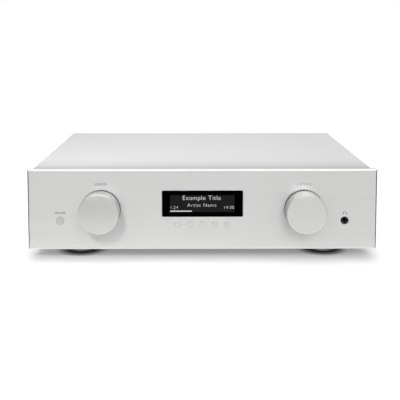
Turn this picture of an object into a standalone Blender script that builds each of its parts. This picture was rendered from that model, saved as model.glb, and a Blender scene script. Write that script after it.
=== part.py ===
"""Integrated amplifier: a thick metal front panel with two large knobs and a display window,
a plain folded cover, and the power supply, amplifier boards and sockets that it holds.

The amplifier stands on the XY plane at its real size in metres, facing -Y, with the origin under
the middle of its bounding box. Values that end in _Y run backwards from the front panel's face,
and values that end in _Z run upwards from the floor.
"""
import math

import bmesh
import bpy

# Fits
SEAT_GAP = 0.0003            # between pieces that rest on or fit into one another
RUN_GAP = 0.0004             # around pieces that turn or slide
BITE = 0.0004                # how far shapes that are joined into one piece overlap
CUT_MARGIN = 0.002           # how far a cutter reaches past the piece it cuts

# Facets of round pieces
KNOB_STEPS = 48
ROUND_STEPS = 24
SMALL_STEPS = 12
CORNER_STEPS = 3

# Front panel
PANEL_WIDTH = 0.430
PANEL_HEIGHT = 0.0997
PANEL_THICKNESS = 0.008
PANEL_CHAMFER = 0.0016
PANEL_FLOOR_CLEARANCE = 0.013

# Sheet-metal case
CASE_DEPTH = 0.343           # front panel's face to the cover's rear edge
COVER_INSET = 0.0037         # cover's sides inside the panel's ends
COVER_SHEET = 0.002
COVER_BEND = 0.002
COVER_DROP = 0.001           # cover's top below the panel's top
TRAY_LIFT = 0.002            # tray's underside above the panel's lower edge
TRAY_SHEET = 0.0015
TRAY_WALL = 0.010            # height of the tray's folded edge
SUBPANEL_SHEET = 0.0015
REAR_SHEET = 0.002
REAR_INSET = 0.0015          # rear panel's face inside the cover's rear edge

# Vent slots in the cover's sides and in the tray
VENT_COUNT = 12
VENT_WIDTH = 0.003
VENT_PITCH = 0.012
SIDE_VENT_HEIGHT = 0.036
FLOOR_VENT_LENGTH = 0.026

# Feet
FOOT_DIAMETER = 0.041
FOOT_EDGE = 0.0006
PAD_DIAMETER = 0.039
PAD_HEIGHT = 0.0012
PAD_EDGE = 0.0004
FOOT_INSET = 0.0563          # each foot's axis from the cover's side
FOOT_SETBACK = 0.050         # feet from the panel's face and from the cover's rear edge

# Knobs, shafts and encoders
KNOB_DIAMETER = 0.048
KNOB_LENGTH = 0.028
KNOB_STANDOFF = 0.001
KNOB_EDGE = 0.0007
KNOB_BORE_DEPTH = 0.016
KNOB_INSET = 0.090           # each knob's axis from the panel's end
KNOB_RISE = 0.0502           # the knobs' axes above the panel's lower edge
SHAFT_DIAMETER = 0.006
SHAFT_SEAT = 0.002           # shaft's depth inside its encoder's body
BUSH_DIAMETER = 0.0095
BUSH_REACH = 0.005           # bush's length in front of the subpanel
ENCODER_WIDTH = 0.014
PANEL_BUSH_CLEARANCE = 0.0015

# Display
WINDOW_WIDTH = 0.0993
WINDOW_HEIGHT = 0.0323
WINDOW_CORNER = 0.0013
WINDOW_RISE = 0.0569         # window's middle above the panel's lower edge
WINDOW_RECESS = 0.0002
WINDOW_LAND = 0.0035         # thickness of panel in front of the window's lip
WINDOW_LIP = 0.003
WINDOW_LIP_THICKNESS = 0.0015
DISPLAY_WIDTH = 0.088
DISPLAY_HEIGHT = 0.0278
DISPLAY_CLEARANCE = 0.0008

# Keys, their switches and the control board
MENU_KEY_COUNT = 5
MENU_KEY_DIAMETER = 0.006
MENU_KEY_PITCH = 0.0151
MENU_ROW_DROP = 0.0095       # row of keys below the window's lower edge
POWER_KEY_DIAMETER = 0.0096
CORNER_CONTROL_INSET = 0.0395
CORNER_CONTROL_RISE = 0.0359
KEY_PROUD = 0.0003
KEY_EDGE = 0.0003
KEY_FLANGE = 0.0012
KEY_FLANGE_THICKNESS = 0.001
KEY_POCKET = 0.003           # depth of the flange's pocket in the panel's back
KEY_STEM_DIAMETER = 0.003
KEY_TRAVEL = 0.0008
KEY_SWITCH_WIDTH = 0.006
KEY_SWITCH_HEIGHT = 0.0035
KEY_SWITCH_ENTRY = 0.001     # stem's depth in its switch at rest
KEY_SWITCH_CLEARANCE = 0.0005
BOARD_THICKNESS = 0.0016
CONTROL_BOARD_MARGIN = 0.005

# Headphone jack
JACK_NOSE_DIAMETER = 0.0093
JACK_BORE = 0.0065
JACK_RECESS = 0.0003
JACK_BODY_WIDTH = 0.0135
JACK_BODY_LENGTH = 0.024
JACK_END_WALL = 0.0015

# Toroidal transformer
TOROID_DIAMETER = 0.116
TOROID_HOLE = 0.040
TOROID_HEIGHT = 0.052
TOROID_CORNER = 0.010
TOROID_ROOM = 0.018          # from the control board to the transformer
CLAMP_DIAMETER = 0.062
CLAMP_THICKNESS = 0.002
BOLT_DIAMETER = 0.008
BOLT_HEAD_DIAMETER = 0.014
BOLT_HEAD_HEIGHT = 0.006

# Power supply, amplifier and socket boards
BOARD_LIFT = 0.002           # boards above the tray's folded edge
SPACER_DIAMETER = 0.006
SPACER_SIDES = 6
SPACER_INSET = 0.006         # spacers from a board's edges
PSU_BOARD_WIDTH = 0.124
PSU_BOARD_DEPTH = 0.050
PSU_ROOM = 0.008             # from the transformer to the power supply board
CAPACITOR_DIAMETER = 0.035
CAPACITOR_HEIGHT = 0.050
CAPACITOR_EDGE = 0.0015
CAPACITOR_SPREAD = 0.037
RECTIFIER_SIZE = (0.026, 0.010, 0.022)
HEATSINK_LENGTH = 0.160
HEATSINK_HEIGHT = 0.070
HEATSINK_BASE = 0.008
HEATSINK_FIN = 0.0022
HEATSINK_FIN_REACH = 0.028
HEATSINK_FIN_COUNT = 15
HEATSINK_SIDE_ROOM = 0.003
HEATSINK_REAR_ROOM = 0.070
AMP_BOARD_WIDTH = 0.052
AMP_BOARD_LENGTH = 0.146
TRANSISTOR_SIZE = (0.005, 0.016, 0.021)
TRANSISTOR_COUNT = 4
TRANSISTOR_PITCH = 0.032
SOCKET_BOARD_MARGIN = 0.005
SOCKET_BOARD_DEPTH = 0.056
PROCESSOR_SIZE = (0.050, 0.020, 0.008)
RIBBON_WIDTH = 0.018
RIBBON_THICKNESS = 0.001
RIBBON_LIFT = 0.014          # ribbon's level run above the boards

# Rear sockets, in a row from the left-hand end
REAR_MARGIN = 0.0173         # first socket from the case's inner side
REAR_GAP = 0.011             # between neighbouring sockets

# Mains inlet and switch
MAINS_RISE = 0.034           # above the tray's underside
INLET_MOUTH_WIDTH = 0.0244
INLET_MOUTH_HEIGHT = 0.0168
INLET_MOUTH_DEPTH = 0.0165
INLET_WALL = 0.0018
INLET_EAR = 0.010
INLET_FLANGE_LIP = 0.0022
INLET_FLANGE_THICKNESS = 0.0025
PIN_THICKNESS = 0.002
PIN_HEIGHT = 0.004
PIN_RECESS = 0.0025          # pins' tips behind the flange's face
PIN_SPREAD = 0.007
PIN_OFFSET = 0.002
ROCKER_WIDTH = 0.011
ROCKER_HEIGHT = 0.017
ROCKER_FACE = 0.003          # rocker's ends in front of its pivot
ROCKER_DISH = 0.0012
ROCKER_ROOT = 0.005
ROCKER_TAPER = 0.003
ROCKER_TILT = math.radians(9)
ROCKER_SINK = 0.0015         # pivot behind the frame's face
ROCKER_WALL = 0.0014
ROCKER_RIM = 0.0015
ROCKER_RIM_THICKNESS = 0.0015

# Loudspeaker terminals
POSTS_RISE = 0.036           # above the tray's underside
POST_PITCH = 0.022
POST_PAIR_GAP = 0.030
TERMINAL_PLATE_MARGIN = 0.011
TERMINAL_PLATE_HEIGHT = 0.026
TERMINAL_PLATE_THICKNESS = 0.003
STUD_DIAMETER = 0.0075
STUD_BORE = 0.0042
STUD_BORE_DEPTH = 0.018
STUD_COLLAR_DIAMETER = 0.0125
STUD_COLLAR_THICKNESS = 0.0025
STUD_TAIL = 0.010
STUD_TIP_DEPTH = 0.0015      # stud's tip inside the cap's end
WASHER_DIAMETER = 0.0125
WASHER_THICKNESS = 0.002
POST_CAP_DIAMETER = 0.0155
POST_CAP_LENGTH = 0.018
POST_CAP_EDGE = 0.0008
POST_CAP_MOUTH = 0.0055
POST_CAP_END = 0.0012

# Phono and network sockets
LINE_IN_COLUMNS = 3
PHONO_PITCH = 0.020
PHONO_ROW_PITCH = 0.018
PHONO_FIRST_ROW = 0.010      # lower row above the socket board
PHONO_HOUSING_MARGIN = 0.0085
PHONO_HOUSING_DEPTH = 0.012
PHONO_COLLAR_DIAMETER = 0.0112
PHONO_COLLAR_PROUD = 0.001
PHONO_SHELL_DIAMETER = 0.0083
PHONO_REACH = 0.0095
PHONO_HOLE = 0.0034
PHONO_HOLE_DEPTH = 0.008
NETWORK_WALL = 0.0017
NETWORK_BRIDGE = 0.007       # between the two mouths
NETWORK_BACK = 0.010         # behind the mouths
NETWORK_PROUD = 0.0006
LAN_MOUTH_WIDTH = 0.0120
LAN_MOUTH_HEIGHT = 0.0084
DATA_MOUTH_WIDTH = 0.0132
DATA_MOUTH_HEIGHT = 0.0056
NETWORK_MOUTH_DEPTH = 0.014

# Places that follow from the sizes above
PANEL_LOW_Z = PANEL_FLOOR_CLEARANCE
PANEL_TOP_Z = PANEL_LOW_Z + PANEL_HEIGHT
TRAY_LOW_Z = PANEL_LOW_Z + TRAY_LIFT
FLOOR_Z = TRAY_LOW_Z + TRAY_SHEET
COVER_TOP_Z = PANEL_TOP_Z - COVER_DROP
COVER_WIDTH = PANEL_WIDTH - 2 * COVER_INSET
CEILING_Z = COVER_TOP_Z - COVER_SHEET
INNER_HALF = COVER_WIDTH / 2 - COVER_SHEET - SEAT_GAP
COVER_FRONT_Y = PANEL_THICKNESS + SEAT_GAP
SUBPANEL_FRONT_Y = PANEL_THICKNESS + SEAT_GAP
SUBPANEL_BACK_Y = SUBPANEL_FRONT_Y + SUBPANEL_SHEET
CONTROL_BOARD_Y = SUBPANEL_BACK_Y + KEY_SWITCH_HEIGHT + KEY_SWITCH_CLEARANCE
CONTROL_BOARD_BACK_Y = CONTROL_BOARD_Y + BOARD_THICKNESS
REAR_FACE_Y = CASE_DEPTH - REAR_INSET
REAR_INSIDE_Y = REAR_FACE_Y - REAR_SHEET
TRAY_FRONT_Y = SUBPANEL_BACK_Y + SEAT_GAP
TRAY_BACK_Y = REAR_INSIDE_Y - SEAT_GAP
FOOT_SPREAD = COVER_WIDTH / 2 - FOOT_INSET
KNOB_SPREAD = PANEL_WIDTH / 2 - KNOB_INSET
CORNER_CONTROL_SPREAD = PANEL_WIDTH / 2 - CORNER_CONTROL_INSET
KNOB_Z = PANEL_LOW_Z + KNOB_RISE
WINDOW_Z = PANEL_LOW_Z + WINDOW_RISE
MENU_Z = WINDOW_Z - WINDOW_HEIGHT / 2 - MENU_ROW_DROP
CORNER_CONTROL_Z = PANEL_LOW_Z + CORNER_CONTROL_RISE
KEY_FLANGE_Y = PANEL_THICKNESS - KEY_POCKET + SEAT_GAP
KEY_FLANGE_BACK_Y = KEY_FLANGE_Y + KEY_FLANGE_THICKNESS
KEY_SWITCH_FRONT_Y = CONTROL_BOARD_Y - KEY_SWITCH_HEIGHT
BOARD_Z = TRAY_LOW_Z + TRAY_WALL + BOARD_LIFT
BOARD_TOP_Z = BOARD_Z + BOARD_THICKNESS
TOROID_Y = CONTROL_BOARD_BACK_Y + TOROID_ROOM + TOROID_DIAMETER / 2
PSU_FRONT_Y = TOROID_Y + TOROID_DIAMETER / 2 + PSU_ROOM
PSU_BACK_Y = PSU_FRONT_Y + PSU_BOARD_DEPTH
HEATSINK_BACK_Y = REAR_INSIDE_Y - HEATSINK_REAR_ROOM
HEATSINK_MID_Y = HEATSINK_BACK_Y - HEATSINK_LENGTH / 2
HEATSINK_OUTER_X = INNER_HALF - TRAY_SHEET - HEATSINK_SIDE_ROOM
HEATSINK_INNER_X = HEATSINK_OUTER_X - HEATSINK_FIN_REACH - HEATSINK_BASE
AMP_BOARD_OUTER_X = HEATSINK_INNER_X - SEAT_GAP
SOCKET_BOARD_BACK_Y = REAR_INSIDE_Y - SEAT_GAP
SOCKET_BOARD_FRONT_Y = SOCKET_BOARD_BACK_Y - SOCKET_BOARD_DEPTH
INLET_WIDTH = INLET_MOUTH_WIDTH + 2 * INLET_WALL
INLET_HEIGHT = INLET_MOUTH_HEIGHT + 2 * INLET_WALL
INLET_FLANGE_WIDTH = INLET_WIDTH + 2 * INLET_EAR
ROCKER_SWEEP = math.hypot(ROCKER_FACE, ROCKER_HEIGHT / 2)
ROCKER_ROOT_SWEEP = math.hypot(ROCKER_ROOT, ROCKER_HEIGHT / 2 - ROCKER_TAPER)
ROCKER_HOLLOW_WIDTH = ROCKER_WIDTH + 2 * RUN_GAP
ROCKER_HOLLOW_HEIGHT = 2 * (ROCKER_SWEEP + RUN_GAP)
ROCKER_HOLLOW_DEPTH = ROCKER_SINK + ROCKER_ROOT_SWEEP + RUN_GAP
ROCKER_BODY_WIDTH = ROCKER_HOLLOW_WIDTH + 2 * ROCKER_WALL
ROCKER_BODY_HEIGHT = ROCKER_HOLLOW_HEIGHT + 2 * ROCKER_WALL
ROCKER_RIM_WIDTH = ROCKER_BODY_WIDTH + 2 * ROCKER_RIM
ROCKER_RIM_Y = REAR_FACE_Y + SEAT_GAP + ROCKER_RIM_THICKNESS
ROCKER_PIVOT_Y = ROCKER_RIM_Y - ROCKER_SINK
TERMINAL_PLATE_WIDTH = POST_PAIR_GAP + 2 * POST_PITCH + 2 * TERMINAL_PLATE_MARGIN
LINE_OUT_WIDTH = 2 * PHONO_HOUSING_MARGIN
LINE_IN_WIDTH = (LINE_IN_COLUMNS - 1) * PHONO_PITCH + 2 * PHONO_HOUSING_MARGIN
NETWORK_WIDTH = max(LAN_MOUTH_WIDTH, DATA_MOUTH_WIDTH) + 2 * NETWORK_WALL
NETWORK_HEIGHT = LAN_MOUTH_HEIGHT + NETWORK_BRIDGE + DATA_MOUTH_HEIGHT + 2 * NETWORK_WALL
MAINS_Z = TRAY_LOW_Z + MAINS_RISE
POSTS_Z = TRAY_LOW_Z + POSTS_RISE
SOCKETS_LOW_Z = BOARD_TOP_Z + SEAT_GAP
PHONO_ROWS_Z = (SOCKETS_LOW_Z + PHONO_FIRST_ROW, SOCKETS_LOW_Z + PHONO_FIRST_ROW + PHONO_ROW_PITCH)
COLLAR_BACK_Y = REAR_FACE_Y + SEAT_GAP + TERMINAL_PLATE_THICKNESS + SEAT_GAP + STUD_COLLAR_THICKNESS
WASHER_Y = COLLAR_BACK_Y + SEAT_GAP
POST_CAP_Y = WASHER_Y + WASHER_THICKNESS + SEAT_GAP
REARMOST_Y = POST_CAP_Y + POST_CAP_LENGTH
FOREMOST_Y = -KNOB_STANDOFF - KNOB_LENGTH
MIDDLE_Y = (FOREMOST_Y + REARMOST_Y) / 2


def rear_row(*widths):
    """Middle of each rear socket in X, from the left-hand end of the rear panel."""
    middles = []
    edge = -INNER_HALF + REAR_MARGIN
    for width in widths:
        middles.append(edge + width / 2)
        edge += width + REAR_GAP
    return middles


MAINS_X, SWITCH_X, POSTS_X, LINE_OUT_X, LINE_IN_X, NETWORK_X = rear_row(
    INLET_FLANGE_WIDTH, ROCKER_RIM_WIDTH, TERMINAL_PLATE_WIDTH, LINE_OUT_WIDTH, LINE_IN_WIDTH, NETWORK_WIDTH
)
POST_XS = [
    POSTS_X + side * (POST_PAIR_GAP / 2 + step * POST_PITCH)
    for side, step in ((-1, 1), (-1, 0), (1, 0), (1, 1))
]
LINE_IN_XS = [
    LINE_IN_X + (column - (LINE_IN_COLUMNS - 1) / 2) * PHONO_PITCH for column in range(LINE_IN_COLUMNS)
]
MENU_XS = [(key - (MENU_KEY_COUNT - 1) / 2) * MENU_KEY_PITCH for key in range(MENU_KEY_COUNT)]
SOCKET_BOARD_LEFT_X = LINE_OUT_X - LINE_OUT_WIDTH / 2 - SOCKET_BOARD_MARGIN
SOCKET_BOARD_RIGHT_X = NETWORK_X + NETWORK_WIDTH / 2 + SOCKET_BOARD_MARGIN
CONTROL_BOARD_LEFT_X = -CORNER_CONTROL_SPREAD - KEY_SWITCH_WIDTH / 2 - CONTROL_BOARD_MARGIN
CONTROL_BOARD_RIGHT_X = KNOB_SPREAD + ENCODER_WIDTH / 2 + CONTROL_BOARD_MARGIN
# The ribbon runs midway between the transformer and the right-hand end of the socket board
RIBBON_X = (TOROID_DIAMETER / 2 + SOCKET_BOARD_RIGHT_X) / 2

# Turns that point a turned piece's own Z axis to the front, to the back or up
TO_FRONT = (math.pi / 2, 0, 0)
TO_BACK = (-math.pi / 2, 0, 0)
UPRIGHT = (0, 0, 0)
# Turn that lays an outline drawn in (y, z) into the case, with its thickness along X
SIDE_ON = (math.pi / 2, 0, math.pi / 2)


def start_scene():
    """Empty the scene, and make the collections and the empty that carries every piece."""
    for old in list(bpy.data.objects):
        bpy.data.objects.remove(old, do_unlink=True)
    collections = []
    for name in ("integrated_amplifier", "cutters_and_added_shapes"):
        collection = bpy.data.collections.new(name)
        bpy.context.scene.collection.children.link(collection)
        collections.append(collection)
    middle = bpy.data.objects.new("amplifier_middle", None)
    middle.location = (0, -MIDDLE_Y, 0)
    collections[0].objects.link(middle)
    return collections[0], collections[1], middle


PARTS, TOOLS, MIDDLE = start_scene()


def finish(name, colour, roughness, metallic):
    """A plain material with the piece's colour and sheen."""
    material = bpy.data.materials.new(name)
    material.use_nodes = True
    shader = material.node_tree.nodes["Principled BSDF"]
    shader.inputs["Base Color"].default_value = (*colour, 1)
    shader.inputs["Roughness"].default_value = roughness
    shader.inputs["Metallic"].default_value = metallic
    return material


SILVER = finish("brushed_silver", (0.66, 0.66, 0.65), 0.35, 1.0)
COVER_PAINT = finish("silver_cover_paint", (0.72, 0.72, 0.72), 0.5, 0.3)
ZINC = finish("zinc_plated_steel", (0.55, 0.56, 0.57), 0.4, 1.0)
BLACK_GLASS = finish("black_glass", (0.005, 0.005, 0.005), 0.05, 0.0)
BLACK_PLASTIC = finish("black_plastic", (0.02, 0.02, 0.02), 0.45, 0.0)
RUBBER = finish("black_rubber", (0.02, 0.02, 0.02), 0.8, 0.0)
FOOT_GREY = finish("dark_grey_foot", (0.12, 0.12, 0.12), 0.3, 0.6)
STEEL = finish("steel", (0.6, 0.6, 0.6), 0.3, 1.0)
GOLD = finish("gold_plated_brass", (0.85, 0.62, 0.25), 0.25, 1.0)
BOARD_GREEN = finish("green_board", (0.03, 0.14, 0.06), 0.5, 0.0)
WINDING = finish("wound_copper_tape", (0.35, 0.20, 0.08), 0.5, 0.0)
HEATSINK_BLACK = finish("black_anodised_aluminium", (0.03, 0.03, 0.03), 0.5, 0.8)
SLEEVE = finish("capacitor_sleeve", (0.02, 0.03, 0.06), 0.3, 0.0)
RIBBON_GREY = finish("grey_ribbon", (0.4, 0.4, 0.42), 0.6, 0.0)


def span(middle, size):
    """The low and high ends of a size about its middle."""
    return middle - size / 2, middle + size / 2


def place(name, data, material):
    """Put an object in the case: a piece with a material, or else a shape that only cuts or is added."""
    thing = bpy.data.objects.new(name, data)
    thing.parent = MIDDLE
    if material:
        data.materials.append(material)
        PARTS.objects.link(thing)
    else:
        thing.hide_render = True
        thing.display_type = "WIRE"
        TOOLS.objects.link(thing)
    return thing


def block(name, x, y, z, material=None):
    """A box between the low and high ends given for each axis."""
    mesh = bpy.data.meshes.new(name)
    bm = bmesh.new()
    bmesh.ops.create_cube(bm, size=1)
    bmesh.ops.scale(bm, vec=(x[1] - x[0], y[1] - y[0], z[1] - z[0]), verts=bm.verts)
    bm.to_mesh(mesh)
    bm.free()
    thing = place(name, mesh, material)
    thing.location = (sum(x) / 2, sum(y) / 2, sum(z) / 2)
    return thing


def bevel(thing, chosen, width, steps):
    """Round or chamfer the edges of a mesh for which chosen is true."""
    bm = bmesh.new()
    bm.from_mesh(thing.data)
    edges = [edge for edge in bm.edges if chosen(*(vertex.co for vertex in edge.verts))]
    bmesh.ops.bevel(bm, geom=edges, offset=width, segments=steps, profile=0.5, affect="EDGES")
    bm.to_mesh(thing.data)
    bm.free()


def open_faces(thing, chosen):
    """Take away the faces of a box whose normals are chosen, to leave an open surface."""
    bm = bmesh.new()
    bm.from_mesh(thing.data)
    bmesh.ops.delete(bm, geom=[face for face in bm.faces if chosen(face.normal)], context="FACES")
    bm.to_mesh(thing.data)
    bm.free()


def thicken(thing, thickness, side):
    """Give an open surface its sheet thickness, inwards for side -1 and about the surface for 0."""
    sheet = thing.modifiers.new("sheet", "SOLIDIFY")
    sheet.thickness = thickness
    sheet.offset = side
    sheet.use_even_offset = True


def at_front(start, end):
    """True for an edge of a box around its front face."""
    return start.y < 0 and end.y < 0


def runs_along_y(start, end):
    """True for an edge of a box that runs from front to back."""
    return abs(start.y - end.y) > max(abs(start.x - end.x), abs(start.z - end.z))


def rod(name, axis, centre, diameter, length, sides, material=None):
    """A round bar along X, Y or Z about its middle."""
    mesh = bpy.data.meshes.new(name)
    bm = bmesh.new()
    bmesh.ops.create_cone(
        bm, cap_ends=True, segments=sides, radius1=diameter / 2, radius2=diameter / 2, depth=length
    )
    bm.to_mesh(mesh)
    bm.free()
    thing = place(name, mesh, material)
    thing.location = centre
    thing.rotation_euler = {"X": (0, math.pi / 2, 0), "Y": TO_FRONT, "Z": UPRIGHT}[axis]
    return thing


def turned(name, profile, centre, turn, steps, material=None, ring=False):
    """A turned piece. The profile lists (radius, height) down the outside, and a ring's closes on itself."""
    mesh = bpy.data.meshes.new(name)
    edges = [(index, index + 1) for index in range(len(profile) - 1)]
    if ring:
        edges.append((len(profile) - 1, 0))
    mesh.from_pydata([(radius, 0, height) for radius, height in profile], edges, [])
    thing = place(name, mesh, material)
    thing.location = centre
    thing.rotation_euler = turn
    screw = thing.modifiers.new("turn", "SCREW")
    screw.axis = "Z"
    screw.steps = steps
    screw.render_steps = steps
    screw.use_merge_vertices = True
    screw.merge_threshold = 0.00001
    screw.use_smooth_shade = True
    return thing


def arc(radius, height, size, start, stop):
    """Points of a profile's rounded corner, from one angle to the other in degrees."""
    points = []
    for step in range(CORNER_STEPS + 1):
        angle = math.radians(start + (stop - start) * step / CORNER_STEPS)
        points.append((radius + size * math.cos(angle), height + size * math.sin(angle)))
    return points


def outline(name, points, thickness, centre, turn, material=None):
    """A flat piece of the given thickness, cut to a closed outline."""
    curve = bpy.data.curves.new(name, "CURVE")
    curve.dimensions = "2D"
    curve.fill_mode = "BOTH"
    curve.extrude = thickness / 2
    spline = curve.splines.new("POLY")
    spline.points.add(len(points) - 1)
    for point, (across, up) in zip(spline.points, points):
        point.co = (across, up, 0, 1)
    spline.use_cyclic_u = True
    thing = place(name, curve, material)
    thing.location = centre
    thing.rotation_euler = turn
    return thing


def boolean(piece, operation, tools):
    """Cut the tools out of a piece, or join them to it, one after another."""
    for tool in tools:
        modifier = piece.modifiers.new(tool.name, "BOOLEAN")
        modifier.operation = operation
        modifier.object = tool


def cut(piece, *tools):
    """Cut each tool out of a piece."""
    boolean(piece, "DIFFERENCE", tools)


def join(piece, *tools):
    """Join each tool to a piece."""
    boolean(piece, "UNION", tools)


def row_of(tool, count, step):
    """Repeat a cutter in a row from front to back, about its middle."""
    array = tool.modifiers.new("row", "ARRAY")
    array.count = count
    array.use_relative_offset = False
    array.use_constant_offset = True
    array.constant_offset_displace = (0, step, 0)
    array.use_merge_vertices = False
    tool.location.y -= step * (count - 1) / 2


def key_hole(name, x, z, diameter):
    """Cutter for a key's hole in the front panel, with the wider pocket of its flange behind."""
    hole = diameter / 2 + RUN_GAP
    pocket = diameter / 2 + KEY_FLANGE + RUN_GAP
    floor = -(PANEL_THICKNESS - KEY_POCKET)
    back = -(PANEL_THICKNESS + CUT_MARGIN)
    profile = [(0, CUT_MARGIN), (hole, CUT_MARGIN), (hole, floor), (pocket, floor), (pocket, back), (0, back)]
    return turned(name, profile, (x, 0, z), TO_FRONT, SMALL_STEPS)


def key_places():
    """Name, place and diameter of each key on the front panel."""
    keys = [("power_key", -CORNER_CONTROL_SPREAD, CORNER_CONTROL_Z, POWER_KEY_DIAMETER)]
    for number, x in enumerate(MENU_XS, 1):
        keys.append((f"menu_key_{number}", x, MENU_Z, MENU_KEY_DIAMETER))
    return keys


def build_front_panel():
    """Thick panel with chamfered front edges and openings for the window, knobs, keys and jack."""
    depth = (0, PANEL_THICKNESS)
    panel = block("front_panel", span(0, PANEL_WIDTH), depth, (PANEL_LOW_Z, PANEL_TOP_Z), SILVER)
    bevel(panel, at_front, PANEL_CHAMFER, 1)
    opening = block(
        "window_opening",
        span(0, WINDOW_WIDTH + 2 * SEAT_GAP),
        (-CUT_MARGIN, PANEL_THICKNESS + CUT_MARGIN),
        span(WINDOW_Z, WINDOW_HEIGHT + 2 * SEAT_GAP),
    )
    bevel(opening, runs_along_y, WINDOW_CORNER, CORNER_STEPS)
    pocket = block(
        "window_pocket",
        span(0, WINDOW_WIDTH + 2 * WINDOW_LIP + 2 * SEAT_GAP),
        (WINDOW_LAND, PANEL_THICKNESS + CUT_MARGIN),
        span(WINDOW_Z, WINDOW_HEIGHT + 2 * WINDOW_LIP + 2 * SEAT_GAP),
    )
    cut(panel, opening, pocket)
    through = PANEL_THICKNESS + 2 * CUT_MARGIN
    for side in (-1, 1):
        centre = (side * KNOB_SPREAD, PANEL_THICKNESS / 2, KNOB_Z)
        diameter = BUSH_DIAMETER + 2 * PANEL_BUSH_CLEARANCE
        cut(panel, rod(f"bush_opening_{side}", "Y", centre, diameter, through, ROUND_STEPS))
    for name, x, z, diameter in key_places():
        cut(panel, key_hole(f"{name}_hole", x, z, diameter))
    centre = (CORNER_CONTROL_SPREAD, PANEL_THICKNESS / 2, CORNER_CONTROL_Z)
    cut(panel, rod("jack_opening", "Y", centre, JACK_NOSE_DIAMETER + 2 * SEAT_GAP, through, ROUND_STEPS))


def build_subpanel():
    """Steel sheet behind the front panel that carries the encoders, the jack and the control board."""
    depth = (SUBPANEL_FRONT_Y, SUBPANEL_BACK_Y)
    middle = sum(depth) / 2
    sheet = block("subpanel", span(0, 2 * INNER_HALF), depth, (TRAY_LOW_Z, CEILING_Z - SEAT_GAP), ZINC)
    through = (SUBPANEL_FRONT_Y - CUT_MARGIN, SUBPANEL_BACK_Y + CUT_MARGIN)
    length = through[1] - through[0]
    display = block(
        "display_cutout",
        span(0, DISPLAY_WIDTH + 2 * DISPLAY_CLEARANCE),
        through,
        span(WINDOW_Z, DISPLAY_HEIGHT + 2 * DISPLAY_CLEARANCE),
    )
    cut(sheet, display)
    for side in (-1, 1):
        centre = (side * KNOB_SPREAD, middle, KNOB_Z)
        cut(sheet, rod(f"bush_hole_{side}", "Y", centre, BUSH_DIAMETER + 2 * SEAT_GAP, length, SMALL_STEPS))
    for name, x, z, _ in key_places():
        diameter = KEY_STEM_DIAMETER + 2 * RUN_GAP
        cut(sheet, rod(f"{name}_stem_hole", "Y", (x, middle, z), diameter, length, SMALL_STEPS))
    centre = (CORNER_CONTROL_SPREAD, middle, CORNER_CONTROL_Z)
    cut(sheet, rod("jack_hole", "Y", centre, JACK_NOSE_DIAMETER + 2 * SEAT_GAP, length, SMALL_STEPS))


def build_cover():
    """U of folded sheet over the top and both sides, with a row of vent slots low in each side."""
    x = span(0, COVER_WIDTH)
    cover = block("top_cover", x, (COVER_FRONT_Y, CASE_DEPTH), (TRAY_LOW_Z, COVER_TOP_Z), COVER_PAINT)
    open_faces(cover, lambda normal: normal.x == 0 and normal.z < 0.5)
    bevel(cover, lambda start, end: runs_along_y(start, end) and start.z > 0, COVER_BEND, CORNER_STEPS)
    thicken(cover, COVER_SHEET, -1)
    slot = block(
        "side_vents",
        span(0, COVER_WIDTH + 2 * CUT_MARGIN),
        span(HEATSINK_MID_Y, VENT_WIDTH),
        span((FLOOR_Z + CEILING_Z) / 2, SIDE_VENT_HEIGHT),
    )
    row_of(slot, VENT_COUNT, VENT_PITCH)
    cut(cover, slot)


def board_corners(x, y):
    """The four fixing points of a board, near its corners."""
    xs = (x[0] + SPACER_INSET, x[1] - SPACER_INSET)
    ys = (y[0] + SPACER_INSET, y[1] - SPACER_INSET)
    return [(across, along) for across in xs for along in ys]


def amp_board_span(side):
    """An amplifier board's extent in X and Y, beside the heatsink on its side of the case."""
    x = sorted((side * AMP_BOARD_OUTER_X, side * (AMP_BOARD_OUTER_X - AMP_BOARD_WIDTH)))
    return tuple(x), span(HEATSINK_MID_Y, AMP_BOARD_LENGTH)


PSU_SPAN = (span(0, PSU_BOARD_WIDTH), (PSU_FRONT_Y, PSU_BACK_Y))
SOCKET_SPAN = ((SOCKET_BOARD_LEFT_X, SOCKET_BOARD_RIGHT_X), (SOCKET_BOARD_FRONT_Y, SOCKET_BOARD_BACK_Y))


def build_tray():
    """Folded steel pan: the case's floor, with vent slots under the heatsinks and a bolt hole."""
    y = (TRAY_FRONT_Y, TRAY_BACK_Y)
    tray = block("chassis_tray", span(0, 2 * INNER_HALF), y, (TRAY_LOW_Z, TRAY_LOW_Z + TRAY_WALL), ZINC)
    open_faces(tray, lambda normal: normal.z > 0.5)
    thicken(tray, TRAY_SHEET, -1)
    floor = (TRAY_LOW_Z - CUT_MARGIN, FLOOR_Z + CUT_MARGIN)
    for side in (-1, 1):
        slot_x = span(side * (HEATSINK_OUTER_X - HEATSINK_FIN_REACH / 2), FLOOR_VENT_LENGTH)
        slot = block(f"floor_vents_{side}", slot_x, span(HEATSINK_MID_Y, VENT_WIDTH), floor)
        row_of(slot, VENT_COUNT, VENT_PITCH)
        cut(tray, slot)
    centre = (0, TOROID_Y, sum(floor) / 2)
    diameter = BOLT_DIAMETER + 2 * SEAT_GAP
    cut(tray, rod("bolt_hole", "Z", centre, diameter, floor[1] - floor[0], SMALL_STEPS))


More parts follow.
